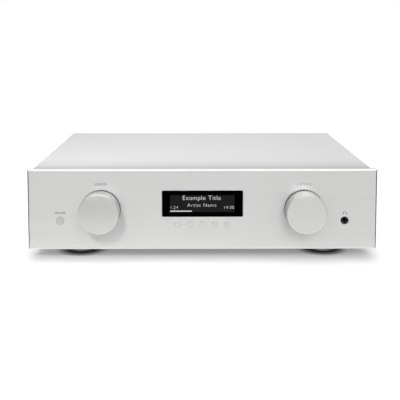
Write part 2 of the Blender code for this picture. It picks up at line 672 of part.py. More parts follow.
def build_rear_panel():
    """Rear sheet with an opening for each socket, the switch and the terminal studs."""
    y = (REAR_INSIDE_Y, REAR_FACE_Y)
    z = (TRAY_LOW_Z, CEILING_Z - SEAT_GAP)
    panel = block("rear_panel", span(0, 2 * INNER_HALF), y, z, COVER_PAINT)
    through = (REAR_INSIDE_Y - CUT_MARGIN, REAR_FACE_Y + CUT_MARGIN)
    length = through[1] - through[0]
    middle = sum(through) / 2
    inlet_x = span(MAINS_X, INLET_WIDTH + 2 * SEAT_GAP)
    cut(panel, block("inlet_opening", inlet_x, through, span(MAINS_Z, INLET_HEIGHT + 2 * SEAT_GAP)))
    switch_x = span(SWITCH_X, ROCKER_BODY_WIDTH + 2 * SEAT_GAP)
    switch_z = span(MAINS_Z, ROCKER_BODY_HEIGHT + 2 * SEAT_GAP)
    cut(panel, block("switch_opening", switch_x, through, switch_z))
    for number, x in enumerate(POST_XS, 1):
        centre = (x, middle, POSTS_Z)
        cut(panel, rod(f"stud_hole_{number}", "Y", centre, STUD_DIAMETER + 2 * SEAT_GAP, length, SMALL_STEPS))
    for column, x in enumerate([LINE_OUT_X] + LINE_IN_XS):
        for row, z in enumerate(PHONO_ROWS_Z):
            centre = (x, middle, z)
            diameter = PHONO_COLLAR_DIAMETER + 2 * SEAT_GAP
            cut(panel, rod(f"phono_hole_{column}_{row}", "Y", centre, diameter, length, SMALL_STEPS))
    network_x = span(NETWORK_X, NETWORK_WIDTH + 2 * SEAT_GAP)
    network_z = (SOCKETS_LOW_Z - SEAT_GAP, SOCKETS_LOW_Z + NETWORK_HEIGHT + SEAT_GAP)
    cut(panel, block("network_opening", network_x, through, network_z))


def build_feet():
    """Four round feet under the tray, each with a rubber pad that meets the floor."""
    low = PAD_HEIGHT + SEAT_GAP
    high = TRAY_LOW_Z - SEAT_GAP
    radius = FOOT_DIAMETER / 2
    foot = [(0, high), (radius, high), (radius, low + FOOT_EDGE), (radius - FOOT_EDGE, low), (0, low)]
    radius = PAD_DIAMETER / 2
    pad = [(0, PAD_HEIGHT), (radius, PAD_HEIGHT), (radius, PAD_EDGE), (radius - PAD_EDGE, 0), (0, 0)]
    for end, y in (("front", FOOT_SETBACK), ("rear", CASE_DEPTH - FOOT_SETBACK)):
        for hand, side in (("left", -1), ("right", 1)):
            centre = (side * FOOT_SPREAD, y, 0)
            turned(f"foot_{end}_{hand}", foot, centre, UPRIGHT, ROUND_STEPS, FOOT_GREY)
            turned(f"foot_pad_{end}_{hand}", pad, centre, UPRIGHT, ROUND_STEPS, RUBBER)


def build_knob(name, side):
    """A turned knob on its shaft, and the encoder whose bush the shaft turns in."""
    x = side * KNOB_SPREAD
    radius = KNOB_DIAMETER / 2
    bore = SHAFT_DIAMETER / 2 + SEAT_GAP
    profile = [
        (0, KNOB_LENGTH),
        (radius - KNOB_EDGE, KNOB_LENGTH),
        (radius, KNOB_LENGTH - KNOB_EDGE),
        (radius, 0),
        (bore, 0),
        (bore, KNOB_BORE_DEPTH),
        (0, KNOB_BORE_DEPTH),
    ]
    turned(f"{name}_knob", profile, (x, -KNOB_STANDOFF, KNOB_Z), TO_FRONT, KNOB_STEPS, SILVER)
    body = (SUBPANEL_BACK_Y + SEAT_GAP, CONTROL_BOARD_Y - SEAT_GAP)
    shaft_front = -KNOB_STANDOFF - KNOB_BORE_DEPTH + SEAT_GAP
    shaft_back = body[0] + SHAFT_SEAT
    centre = (x, (shaft_front + shaft_back) / 2, KNOB_Z)
    rod(f"{name}_shaft", "Y", centre, SHAFT_DIAMETER, shaft_back - shaft_front, ROUND_STEPS, STEEL)
    square_x = span(x, ENCODER_WIDTH)
    encoder = block(f"{name}_encoder", square_x, body, span(KNOB_Z, ENCODER_WIDTH), ZINC)
    bush_front = SUBPANEL_FRONT_Y - BUSH_REACH
    bush_back = body[0] + BITE
    centre = (x, (bush_front + bush_back) / 2, KNOB_Z)
    join(encoder, rod(f"{name}_bush", "Y", centre, BUSH_DIAMETER, bush_back - bush_front, SMALL_STEPS))
    bore_front = bush_front - CUT_MARGIN
    bore_back = shaft_back + SEAT_GAP
    centre = (x, (bore_front + bore_back) / 2, KNOB_Z)
    cut(encoder, rod(f"{name}_bush_bore", "Y", centre, 2 * bore, bore_back - bore_front, ROUND_STEPS))


def build_window():
    """Black glass window, flush in the panel, held by a lip behind the panel's skin."""
    lip_front = WINDOW_LAND + SEAT_GAP
    lip_back = lip_front + WINDOW_LIP_THICKNESS
    z = span(WINDOW_Z, WINDOW_HEIGHT)
    window = block("display_window", span(0, WINDOW_WIDTH), (WINDOW_RECESS, lip_back - BITE), z, BLACK_GLASS)
    bevel(window, runs_along_y, WINDOW_CORNER, CORNER_STEPS)
    lip_x = span(0, WINDOW_WIDTH + 2 * WINDOW_LIP)
    lip_z = span(WINDOW_Z, WINDOW_HEIGHT + 2 * WINDOW_LIP)
    join(window, block("window_lip", lip_x, (lip_front, lip_back), lip_z))
    module_y = (lip_back + SEAT_GAP, CONTROL_BOARD_Y - SEAT_GAP)
    block("display_module", span(0, DISPLAY_WIDTH), module_y, span(WINDOW_Z, DISPLAY_HEIGHT), BLACK_PLASTIC)


def build_control_board():
    """Board behind the subpanel with one hollow switch for each key's stem."""
    x = (CONTROL_BOARD_LEFT_X, CONTROL_BOARD_RIGHT_X)
    low = MENU_Z - KEY_SWITCH_WIDTH / 2 - CONTROL_BOARD_MARGIN
    z = (low, WINDOW_Z + DISPLAY_HEIGHT / 2 + CONTROL_BOARD_MARGIN)
    board = block("control_board", x, (CONTROL_BOARD_Y, CONTROL_BOARD_BACK_Y), z, BOARD_GREEN)
    switch_y = (KEY_SWITCH_FRONT_Y, CONTROL_BOARD_Y + BITE)
    hollow_back = KEY_SWITCH_FRONT_Y + KEY_SWITCH_ENTRY + KEY_TRAVEL + RUN_GAP
    hollow_front = KEY_SWITCH_FRONT_Y - CUT_MARGIN
    for name, x, z, _ in key_places():
        switch = block(f"{name}_switch", span(x, KEY_SWITCH_WIDTH), switch_y, span(z, KEY_SWITCH_WIDTH))
        centre = (x, (hollow_front + hollow_back) / 2, z)
        diameter = KEY_STEM_DIAMETER + 2 * RUN_GAP
        hollow = rod(f"{name}_hollow", "Y", centre, diameter, hollow_back - hollow_front, SMALL_STEPS)
        join(board, switch)
        cut(board, hollow)


def build_keys():
    """Push keys: a round cap in the panel, a flange behind its skin and a stem into the switch."""
    for name, x, z, diameter in key_places():
        cap = diameter / 2
        flange = cap + KEY_FLANGE
        stem = KEY_STEM_DIAMETER / 2
        tip = -(KEY_SWITCH_FRONT_Y + KEY_SWITCH_ENTRY)
        profile = [
            (0, KEY_PROUD),
            (cap - KEY_EDGE, KEY_PROUD),
            (cap, KEY_PROUD - KEY_EDGE),
            (cap, -KEY_FLANGE_Y),
            (flange, -KEY_FLANGE_Y),
            (flange, -KEY_FLANGE_BACK_Y),
            (stem, -KEY_FLANGE_BACK_Y),
            (stem, tip),
            (0, tip),
        ]
        turned(name, profile, (x, 0, z), TO_FRONT, SMALL_STEPS, SILVER)


def build_jack():
    """Headphone jack: a moulded body behind the subpanel with a round nose in the panel."""
    x = CORNER_CONTROL_SPREAD
    z = CORNER_CONTROL_Z
    body = (SUBPANEL_BACK_Y + SEAT_GAP, SUBPANEL_BACK_Y + SEAT_GAP + JACK_BODY_LENGTH)
    jack = block("headphone_jack", span(x, JACK_BODY_WIDTH), body, span(z, JACK_BODY_WIDTH), BLACK_PLASTIC)
    nose = (JACK_RECESS, body[0] + BITE)
    centre = (x, sum(nose) / 2, z)
    join(jack, rod("jack_nose", "Y", centre, JACK_NOSE_DIAMETER, nose[1] - nose[0], ROUND_STEPS))
    bore = (-CUT_MARGIN, body[1] - JACK_END_WALL)
    cut(jack, rod("jack_bore", "Y", (x, sum(bore) / 2, z), JACK_BORE, bore[1] - bore[0], SMALL_STEPS))


def build_transformer():
    """Toroidal mains transformer on the tray, held down by a dished plate and one bolt."""
    low = FLOOR_Z + SEAT_GAP
    outer = TOROID_DIAMETER / 2 - TOROID_CORNER
    inner = TOROID_HOLE / 2 + TOROID_CORNER
    top = TOROID_HEIGHT - TOROID_CORNER
    profile = arc(outer, top, TOROID_CORNER, 90, 0) + arc(outer, TOROID_CORNER, TOROID_CORNER, 0, -90)
    profile += arc(inner, TOROID_CORNER, TOROID_CORNER, -90, -180) + arc(inner, top, TOROID_CORNER, 180, 90)
    turned("mains_transformer", profile, (0, TOROID_Y, low), UPRIGHT, ROUND_STEPS, WINDING, ring=True)
    plate_low = low + TOROID_HEIGHT + SEAT_GAP
    edge = CLAMP_DIAMETER / 2
    hole = BOLT_DIAMETER / 2 + SEAT_GAP
    plate = [(edge, CLAMP_THICKNESS), (edge, 0), (hole, 0), (hole, CLAMP_THICKNESS)]
    turned("transformer_plate", plate, (0, TOROID_Y, plate_low), UPRIGHT, ROUND_STEPS, STEEL, ring=True)
    head_low = plate_low + CLAMP_THICKNESS + SEAT_GAP
    head_top = head_low + BOLT_HEAD_HEIGHT
    head = BOLT_HEAD_DIAMETER / 2
    shank = BOLT_DIAMETER / 2
    bolt = [
        (0, head_top),
        (head, head_top),
        (head, head_low),
        (shank, head_low),
        (shank, TRAY_LOW_Z),
        (0, TRAY_LOW_Z),
    ]
    turned("transformer_bolt", bolt, (0, TOROID_Y, 0), UPRIGHT, SMALL_STEPS, STEEL)


def board_with(name, x, y, components):
    """A level board on four hexagonal spacers, with components given by their middles and sizes."""
    board = block(name, x, y, (BOARD_Z, BOARD_TOP_Z), BOARD_GREEN)
    low = FLOOR_Z + SEAT_GAP
    high = BOARD_Z + BITE
    for number, (across, along) in enumerate(board_corners(x, y)):
        centre = (across, along, (low + high) / 2)
        join(board, rod(f"{name}_spacer_{number}", "Z", centre, SPACER_DIAMETER, high - low, SPACER_SIDES))
    for number, (across, along, size) in enumerate(components):
        z = (BOARD_TOP_Z - BITE, BOARD_TOP_Z + size[2])
        join(board, block(f"{name}_component_{number}", span(across, size[0]), span(along, size[1]), z))


def build_power_supply():
    """Power supply board with its rectifier and two large smoothing capacitors."""
    x, y = PSU_SPAN
    board_with("power_supply_board", x, y, [(0, sum(y) / 2, RECTIFIER_SIZE)])
    radius = CAPACITOR_DIAMETER / 2
    edge = CAPACITOR_EDGE
    can = [
        (0, CAPACITOR_HEIGHT),
        (radius - edge, CAPACITOR_HEIGHT),
        (radius, CAPACITOR_HEIGHT - edge),
        (radius, 0),
        (0, 0),
    ]
    for hand, side in (("left", -1), ("right", 1)):
        centre = (side * CAPACITOR_SPREAD, sum(y) / 2, BOARD_TOP_Z + SEAT_GAP)
        turned(f"smoothing_capacitor_{hand}", can, centre, UPRIGHT, ROUND_STEPS, SLEEVE)


def build_amplifier_channel(hand, side):
    """One channel: a finned heatsink along the case's side, and the board with its power transistors."""
    low = FLOOR_Z + SEAT_GAP
    base_outer = HEATSINK_INNER_X + HEATSINK_BASE
    start, end = span(0, HEATSINK_LENGTH)
    gap = (HEATSINK_LENGTH - HEATSINK_FIN_COUNT * HEATSINK_FIN) / (HEATSINK_FIN_COUNT - 1)
    comb = [(side * HEATSINK_INNER_X, end), (side * HEATSINK_INNER_X, start)]
    for number in range(HEATSINK_FIN_COUNT):
        near = start + number * (HEATSINK_FIN + gap)
        far = near + HEATSINK_FIN
        if number > 0:
            comb.append((side * base_outer, near))
        comb.append((side * HEATSINK_OUTER_X, near))
        comb.append((side * HEATSINK_OUTER_X, far))
        if number < HEATSINK_FIN_COUNT - 1:
            comb.append((side * base_outer, far))
    centre = (0, HEATSINK_MID_Y, low + HEATSINK_HEIGHT / 2)
    outline(f"heatsink_{hand}", comb, HEATSINK_HEIGHT, centre, UPRIGHT, HEATSINK_BLACK)
    x, y = amp_board_span(side)
    transistors = []
    for number in range(TRANSISTOR_COUNT):
        along = HEATSINK_MID_Y + (number - (TRANSISTOR_COUNT - 1) / 2) * TRANSISTOR_PITCH
        across = side * (AMP_BOARD_OUTER_X - TRANSISTOR_SIZE[0] / 2)
        transistors.append((across, along, TRANSISTOR_SIZE))
    board_with(f"amplifier_board_{hand}", x, y, transistors)


def build_socket_board():
    """Board behind the rear panel that carries the line and network sockets, and its ribbon to the front."""
    x, y = SOCKET_SPAN
    processor_y = SOCKET_BOARD_FRONT_Y + 2 * SPACER_INSET + PROCESSOR_SIZE[1] / 2
    board_with("socket_board", x, y, [(LINE_IN_X, processor_y, PROCESSOR_SIZE)])
    level = BOARD_TOP_Z + RIBBON_LIFT
    start = CONTROL_BOARD_BACK_Y + RIBBON_THICKNESS / 2 + SEAT_GAP
    end = SOCKET_BOARD_FRONT_Y + SPACER_INSET
    foot = BOARD_TOP_Z + RIBBON_THICKNESS / 2 + SEAT_GAP
    route = [
        (start, level + 3 * RIBBON_LIFT),
        (start, level + RIBBON_LIFT),
        (start + RIBBON_LIFT / 2, level),
        (end - 3 * RIBBON_LIFT, level),
        (end - RIBBON_LIFT, foot),
        (end, foot),
    ]
    curve = bpy.data.curves.new("control_ribbon", "CURVE")
    curve.dimensions = "2D"
    curve.fill_mode = "NONE"
    curve.extrude = RIBBON_WIDTH / 2
    spline = curve.splines.new("POLY")
    spline.points.add(len(route) - 1)
    for point, (along, up) in zip(spline.points, route):
        point.co = (along, up, 0, 1)
    ribbon = place("control_ribbon", curve, RIBBON_GREY)
    ribbon.location = (RIBBON_X, 0, 0)
    ribbon.rotation_euler = SIDE_ON
    thicken(ribbon, RIBBON_THICKNESS, 0)


def build_mains_inlet():
    """Three-pin mains inlet with a flange outside the rear panel."""
    flange_y = (REAR_FACE_Y + SEAT_GAP, REAR_FACE_Y + SEAT_GAP + INLET_FLANGE_THICKNESS)
    flange_z = span(MAINS_Z, INLET_HEIGHT + 2 * INLET_FLANGE_LIP)
    inlet = block("mains_inlet", span(MAINS_X, INLET_FLANGE_WIDTH), flange_y, flange_z, BLACK_PLASTIC)
    mouth_floor = flange_y[1] - INLET_MOUTH_DEPTH
    body_y = (mouth_floor - INLET_WALL, flange_y[0] + BITE)
    join(inlet, block("inlet_body", span(MAINS_X, INLET_WIDTH), body_y, span(MAINS_Z, INLET_HEIGHT)))
    mouth_y = (mouth_floor, flange_y[1] + CUT_MARGIN)
    mouth_x = span(MAINS_X, INLET_MOUTH_WIDTH)
    cut(inlet, block("inlet_mouth", mouth_x, mouth_y, span(MAINS_Z, INLET_MOUTH_HEIGHT)))
    pin_y = (mouth_floor - BITE, flange_y[1] - PIN_RECESS)
    pins = [(-PIN_SPREAD, -PIN_OFFSET), (0, PIN_OFFSET), (PIN_SPREAD, -PIN_OFFSET)]
    for number, (across, up) in enumerate(pins, 1):
        pin_x = span(MAINS_X + across, PIN_THICKNESS)
        join(inlet, block(f"inlet_pin_{number}", pin_x, pin_y, span(MAINS_Z + up, PIN_HEIGHT)))


def build_mains_switch():
    """Rocker switch: a frame snapped into the rear panel, and a rocker that rests tilted to on."""
    rim_y = (REAR_FACE_Y + SEAT_GAP, ROCKER_RIM_Y)
    rim_z = span(MAINS_Z, ROCKER_BODY_HEIGHT + 2 * ROCKER_RIM)
    frame = block("mains_switch_frame", span(SWITCH_X, ROCKER_RIM_WIDTH), rim_y, rim_z, BLACK_PLASTIC)
    floor = ROCKER_RIM_Y - ROCKER_HOLLOW_DEPTH
    body_y = (floor - ROCKER_WALL, rim_y[0] + BITE)
    body_x = span(SWITCH_X, ROCKER_BODY_WIDTH)
    join(frame, block("switch_body", body_x, body_y, span(MAINS_Z, ROCKER_BODY_HEIGHT)))
    hollow_y = (floor, ROCKER_RIM_Y + CUT_MARGIN)
    hollow_x = span(SWITCH_X, ROCKER_HOLLOW_WIDTH)
    cut(frame, block("switch_hollow", hollow_x, hollow_y, span(MAINS_Z, ROCKER_HOLLOW_HEIGHT)))
    end = ROCKER_HEIGHT / 2
    root = end - ROCKER_TAPER
    section = [
        (ROCKER_FACE, end),
        (ROCKER_FACE - ROCKER_DISH, 0),
        (ROCKER_FACE, -end),
        (-ROCKER_ROOT, -root),
        (-ROCKER_ROOT, root),
    ]
    tilted = []
    for out, up in section:
        along = out * math.cos(ROCKER_TILT) - up * math.sin(ROCKER_TILT)
        tilted.append((along, out * math.sin(ROCKER_TILT) + up * math.cos(ROCKER_TILT)))
    pivot = (SWITCH_X, ROCKER_PIVOT_Y, MAINS_Z)
    outline("mains_rocker", tilted, ROCKER_WIDTH, pivot, SIDE_ON, BLACK_PLASTIC)


def build_terminals():
    """Insulating plate with four gold-plated studs, each with a clamping washer and a screw cap."""
    plate_y = (REAR_FACE_Y + SEAT_GAP, REAR_FACE_Y + SEAT_GAP + TERMINAL_PLATE_THICKNESS)
    plate_x = span(POSTS_X, TERMINAL_PLATE_WIDTH)
    plate = block("terminal_plate", plate_x, plate_y, span(POSTS_Z, TERMINAL_PLATE_HEIGHT), BLACK_PLASTIC)
    length = TERMINAL_PLATE_THICKNESS + 2 * CUT_MARGIN
    thread = STUD_DIAMETER / 2
    bore = STUD_BORE / 2
    collar = STUD_COLLAR_DIAMETER / 2
    run = thread + RUN_GAP
    tip = POST_CAP_Y + POST_CAP_LENGTH - STUD_TIP_DEPTH - COLLAR_BACK_Y
    tail = REAR_INSIDE_Y - STUD_TAIL - COLLAR_BACK_Y
    stud = [
        (0, tip - STUD_BORE_DEPTH),
        (bore, tip - STUD_BORE_DEPTH),
        (bore, tip),
        (thread, tip),
        (thread, 0),
        (collar, 0),
        (collar, -STUD_COLLAR_THICKNESS),
        (thread, -STUD_COLLAR_THICKNESS),
        (thread, tail),
        (0, tail),
    ]
    rim = WASHER_DIAMETER / 2
    washer = [(rim, WASHER_THICKNESS), (rim, 0), (run, 0), (run, WASHER_THICKNESS)]
    grip = POST_CAP_DIAMETER / 2
    mouth = POST_CAP_MOUTH / 2
    cap = [
        (grip - POST_CAP_EDGE, POST_CAP_LENGTH),
        (grip, POST_CAP_LENGTH - POST_CAP_EDGE),
        (grip, 0),
        (run, 0),
        (run, POST_CAP_LENGTH - POST_CAP_END),
        (mouth, POST_CAP_LENGTH - POST_CAP_END),
        (mouth, POST_CAP_LENGTH),
    ]
    for number, x in enumerate(POST_XS, 1):
        centre = (x, sum(plate_y) / 2, POSTS_Z)
        cut(plate, rod(f"plate_hole_{number}", "Y", centre, 2 * (thread + SEAT_GAP), length, SMALL_STEPS))
        pieces = (
            ("stud", stud, COLLAR_BACK_Y, GOLD, False),
            ("washer", washer, WASHER_Y, GOLD, True),
            ("cap", cap, POST_CAP_Y, BLACK_PLASTIC, True),
        )
        for piece, profile, y, material, ring in pieces:
            name = f"terminal_{piece}_{number}"
            turned(name, profile, (x, y, POSTS_Z), TO_BACK, SMALL_STEPS, material, ring)


def build_phono_block(name, columns):
    """Moulded block on the socket board with two rows of phono sockets through the rear panel."""
    x = (columns[0] - PHONO_HOUSING_MARGIN, columns[-1] + PHONO_HOUSING_MARGIN)
    y = (REAR_INSIDE_Y - SEAT_GAP - PHONO_HOUSING_DEPTH, REAR_INSIDE_Y - SEAT_GAP)
    z = (SOCKETS_LOW_Z, PHONO_ROWS_Z[-1] + PHONO_HOUSING_MARGIN)
    housing = block(name, x, y, z, BLACK_PLASTIC)
    hole = PHONO_HOLE / 2
    shell = PHONO_SHELL_DIAMETER / 2
    collar = PHONO_COLLAR_DIAMETER / 2
    hole_floor = PHONO_REACH - PHONO_HOLE_DEPTH
    root = -(REAR_SHEET + SEAT_GAP + BITE)
    socket = [
        (0, hole_floor),
        (hole, hole_floor),
        (hole, PHONO_REACH),
        (shell, PHONO_REACH),
        (shell, PHONO_COLLAR_PROUD),
        (collar, PHONO_COLLAR_PROUD),
        (collar, root),
        (0, root),
    ]
    for column, across in enumerate(columns):
        for row, up in enumerate(PHONO_ROWS_Z):
            centre = (across, REAR_FACE_Y, up)
            join(housing, turned(f"{name}_socket_{column}_{row}", socket, centre, TO_BACK, SMALL_STEPS))


def build_network_block():
    """Shielded block with a network socket below and a data socket above."""
    face = REAR_FACE_Y + NETWORK_PROUD
    y = (face - NETWORK_MOUTH_DEPTH - NETWORK_BACK, face)
    z = (SOCKETS_LOW_Z, SOCKETS_LOW_Z + NETWORK_HEIGHT)
    shield = block("network_sockets", span(NETWORK_X, NETWORK_WIDTH), y, z, STEEL)
    mouth_y = (face - NETWORK_MOUTH_DEPTH, face + CUT_MARGIN)
    lan_low = SOCKETS_LOW_Z + NETWORK_WALL
    data_low = lan_low + LAN_MOUTH_HEIGHT + NETWORK_BRIDGE
    lan_z = (lan_low, lan_low + LAN_MOUTH_HEIGHT)
    data_z = (data_low, data_low + DATA_MOUTH_HEIGHT)
    cut(shield, block("lan_mouth", span(NETWORK_X, LAN_MOUTH_WIDTH), mouth_y, lan_z))
    cut(shield, block("data_mouth", span(NETWORK_X, DATA_MOUTH_WIDTH), mouth_y, data_z))


build_front_panel()
build_subpanel()
build_cover()
build_tray()
build_rear_panel()
build_feet()
build_knob("input", -1)
build_knob("volume", 1)
build_window()
build_control_board()
build_keys()
build_jack()
build_transformer()
build_power_supply()
build_amplifier_channel("left", -1)
build_amplifier_channel("right", 1)
build_socket_board()
build_mains_inlet()
build_mains_switch()
build_terminals()
build_phono_block("line_output_sockets", [LINE_OUT_X])
build_phono_block("line_input_sockets", LINE_IN_XS)
build_network_block()
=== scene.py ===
import math

import bmesh
import bpy
from mathutils import Euler, Matrix, Vector


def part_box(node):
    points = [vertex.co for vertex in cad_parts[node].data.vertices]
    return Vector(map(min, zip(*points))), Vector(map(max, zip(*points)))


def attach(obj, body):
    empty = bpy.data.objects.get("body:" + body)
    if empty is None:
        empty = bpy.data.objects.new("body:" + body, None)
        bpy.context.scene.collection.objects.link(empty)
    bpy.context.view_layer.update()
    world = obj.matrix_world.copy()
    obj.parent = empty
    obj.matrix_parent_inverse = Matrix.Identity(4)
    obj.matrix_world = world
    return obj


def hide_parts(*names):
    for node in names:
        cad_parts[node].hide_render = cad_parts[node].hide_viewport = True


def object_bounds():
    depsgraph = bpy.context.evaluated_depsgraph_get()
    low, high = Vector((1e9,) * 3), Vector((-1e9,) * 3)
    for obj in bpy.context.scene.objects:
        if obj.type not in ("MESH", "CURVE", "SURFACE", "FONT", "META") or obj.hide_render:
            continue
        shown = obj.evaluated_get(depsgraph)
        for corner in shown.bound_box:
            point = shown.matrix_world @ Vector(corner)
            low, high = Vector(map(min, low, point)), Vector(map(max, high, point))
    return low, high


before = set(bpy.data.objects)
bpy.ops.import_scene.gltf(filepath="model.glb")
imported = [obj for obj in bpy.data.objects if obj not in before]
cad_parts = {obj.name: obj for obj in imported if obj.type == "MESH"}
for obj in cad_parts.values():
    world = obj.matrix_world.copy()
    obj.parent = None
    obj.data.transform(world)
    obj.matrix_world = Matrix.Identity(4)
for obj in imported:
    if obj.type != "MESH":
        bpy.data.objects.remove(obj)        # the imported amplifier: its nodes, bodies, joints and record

cad_low, cad_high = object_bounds()
scene = bpy.context.scene
scene.view_settings.view_transform = "Standard"

# Camera
# A long lens a little above the cover, straight in front of the panel. The lens is shifted down, so
# that the upright edges of the case stay nearly upright in the picture.
CAMERA_PLACE = (-0.0091, -1.1268, 0.2865)
CAMERA_TILT = math.radians(5.26)         # downwards
CAMERA_TURN = math.radians(0.36)         # to the right
CAMERA_LENS = 71.14                      # millimetres
CAMERA_SHIFT = -0.25


def placed(name, data, place=(0, 0, 0), turn=(0, 0, 0)):
    """A new object in the scene."""
    made = bpy.data.objects.new(name, data)
    made.location = place
    made.rotation_euler = turn
    scene.collection.objects.link(made)
    return made


lens = bpy.data.cameras.new("front_camera")
lens.lens = CAMERA_LENS
lens.shift_y = CAMERA_SHIFT
scene.camera = placed("front_camera", lens, CAMERA_PLACE, (math.pi / 2 - CAMERA_TILT, 0, -CAMERA_TURN))

# Chassis tray
# A folded pan of zinc-plated steel that forms the floor of the case, punched with vent slots under
# the heatsinks. The plating shows its crystals as faint patches.
PASSED_ON = {"Colour": "NodeSocketColor", "Roughness": "NodeSocketFloat", "Height": "NodeSocketFloat"}
EVEN = 0.5                               # a pattern's value that leaves the colour as it is


def feed(tree, socket, value):
    """Give a socket a plain value, or link it to the socket that drives it."""
    if isinstance(value, bpy.types.NodeSocket):
        tree.links.new(value, socket)
    else:
        socket.default_value = value


def made_node(tree, kind, values=(), **settings):
    """The outputs of a new shader node, with its inputs given in order or, in a dict, by label."""
    made = tree.nodes.new("ShaderNode" + kind)
    for label, value in settings.items():
        setattr(made, label, value)
    for key, value in values.items() if isinstance(values, dict) else enumerate(values):
        feed(tree, made.inputs[key], value)
    return made.outputs


def sums(tree, operation, *values):
    """The result of one arithmetic node."""
    return made_node(tree, "Math", values, operation=operation)[0]


def vector_sums(tree, operation, *values):
    """The result of one vector arithmetic node."""
    outputs = made_node(tree, "VectorMath", values, operation=operation)
    return outputs["Value" if operation == "LENGTH" else "Vector"]


def join_xyz(tree, *values):
    """A vector from three values."""
    return made_node(tree, "CombineXYZ", values)[0]


def split_xyz(tree, vector):
    """The three values of a vector."""
    return made_node(tree, "SeparateXYZ", [vector])


def piece_coordinates(tree):
    """A point of the surface in the piece's own frame, in metres."""
    return made_node(tree, "TexCoord")["Object"]


def in_units(tree, *lengths):
    """The same point, counted in one length for each axis."""
    return vector_sums(tree, "DIVIDE", piece_coordinates(tree), join_xyz(tree, *lengths))


def noise(tree, place, detail):
    """Smooth noise about one half, with features about one unit across."""
    return made_node(tree, "TexNoise", {"Vector": place, "Scale": 1.0, "Detail": detail})[0]


def surface_effect(name, sizes, pattern_of):
    """A node group that lays one pattern over colour, roughness and height and passes them on. It is
    given back as a function that sets it for one finish."""
    group = bpy.data.node_groups.new(name, "ShaderNodeTree")
    for label, kind in PASSED_ON.items():
        for way in ("INPUT", "OUTPUT"):
            group.interface.new_socket(label, in_out=way, socket_type=kind)
    for label in (*sizes, "Contrast", "Roughness spread", "Depth"):
        group.interface.new_socket(label, in_out="INPUT", socket_type="NodeSocketFloat")
    given = group.nodes.new("NodeGroupInput").outputs
    result = group.nodes.new("NodeGroupOutput").inputs
    pattern = pattern_of(group, *(given[label] for label in sizes))
    swing = sums(group, "SUBTRACT", pattern, EVEN)
    shade = sums(group, "MULTIPLY_ADD", swing, given["Contrast"], 1.0)
    grey = join_xyz(group, shade, shade, shade)
    feed(group, result["Colour"], vector_sums(group, "MULTIPLY", given["Colour"], grey))
    rougher = sums(group, "MULTIPLY_ADD", swing, given["Roughness spread"], given["Roughness"])
    feed(group, result["Roughness"], rougher)
    feed(group, result["Height"], sums(group, "MULTIPLY_ADD", pattern, given["Depth"], given["Height"]))

    def effect(*lengths, tone, rough, depth=0.0):
        """The group with the pattern's sizes and its hold on tone, roughness and height."""
        settings = {"Contrast": tone, "Roughness spread": rough, "Depth": depth}
        return group, {**dict(zip(sizes, lengths)), **settings}

    return effect


def finish(name, colour, roughness, *effects, slot=None, metallic=0.0, specular=0.5):
    """A material: a Principled shader whose colour, roughness and relief come from surface effects."""
    material = bpy.data.materials.new(name)
    material.use_nodes = True
    tree = material.node_tree
    shader = tree.nodes["Principled BSDF"].inputs
    passed = {"Colour": (*colour, 1), "Roughness": roughness, "Height": 0.0}
    for group, settings in effects:
        laid = made_node(tree, "Group", {**passed, **settings}, node_tree=group)
        passed = {label: laid[label] for label in PASSED_ON}
    feed(tree, shader["Base Color"], passed["Colour"])
    feed(tree, shader["Roughness"], passed["Roughness"])
    if any(settings["Depth"] for _, settings in effects):
        relief = made_node(tree, "Bump", {"Distance": 1.0, "Height": passed["Height"]})
        feed(tree, shader["Normal"], relief[0])
    feed(tree, shader["Metallic"], metallic)
    feed(tree, shader["Specular IOR Level"], specular)
    return material


def spangle_pattern(tree, size):
    """A random tone for each crystal of a plated sheet."""
    cells = made_node(tree, "TexVoronoi", {"Vector": in_units(tree, size, size, size), "Scale": 1.0})
    return sums(tree, "MULTIPLY", cells["Color"], 1.0)


def skin_pattern(tree, grain):
    """Fine even grain, the same in all directions."""
    return noise(tree, in_units(tree, grain, grain, grain), 3.0)


def dress(material, *nodes):
    """Give CAD pieces that keep their own shape a better material."""
    for node in nodes:
        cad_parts[node].data.materials.clear()
        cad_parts[node].data.materials.append(material)


spangle = surface_effect("plating_spangle", ["Crystal size"], spangle_pattern)
skin = surface_effect("fine_skin", ["Grain"], skin_pattern)
zinc = finish(
    "zinc_plated_steel", (0.55, 0.56, 0.57), 0.42,
    spangle(0.006, tone=0.16, rough=0.2), skin(0.0008, tone=0.05, rough=0.1, depth=4e-6), metallic=1.0,
)
dress(zinc, "chassis_tray")

# Feet and pads
# Four turned feet, satin dark grey with one narrow groove, screwed up into the tray. Each has a disc
# of black rubber set into its base, with the fixing screw sunk in the middle.
UPRIGHT = (0, 0, 0)
TO_FRONT = (math.pi / 2, 0, 0)
TO_BACK = (-math.pi / 2, 0, 0)
DOWNWARDS = (math.pi, 0, 0)
CORNER_STEPS = 4
SHARP_ANGLE = math.radians(32)
ON_AXIS = 1e-7                           # a smaller radius is a point on the axis
CRISP, SOFT, EASY, ROUND, FULL = 0.0001, 0.0002, 0.0003, 0.0004, 0.0005     # radii of worked edges


def measured(node):
    """A CAD piece's box: its low and high corners, its middle and its size."""
    low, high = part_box(node)
    return low, high, (low + high) / 2, [b - a for a, b in zip(low, high)]


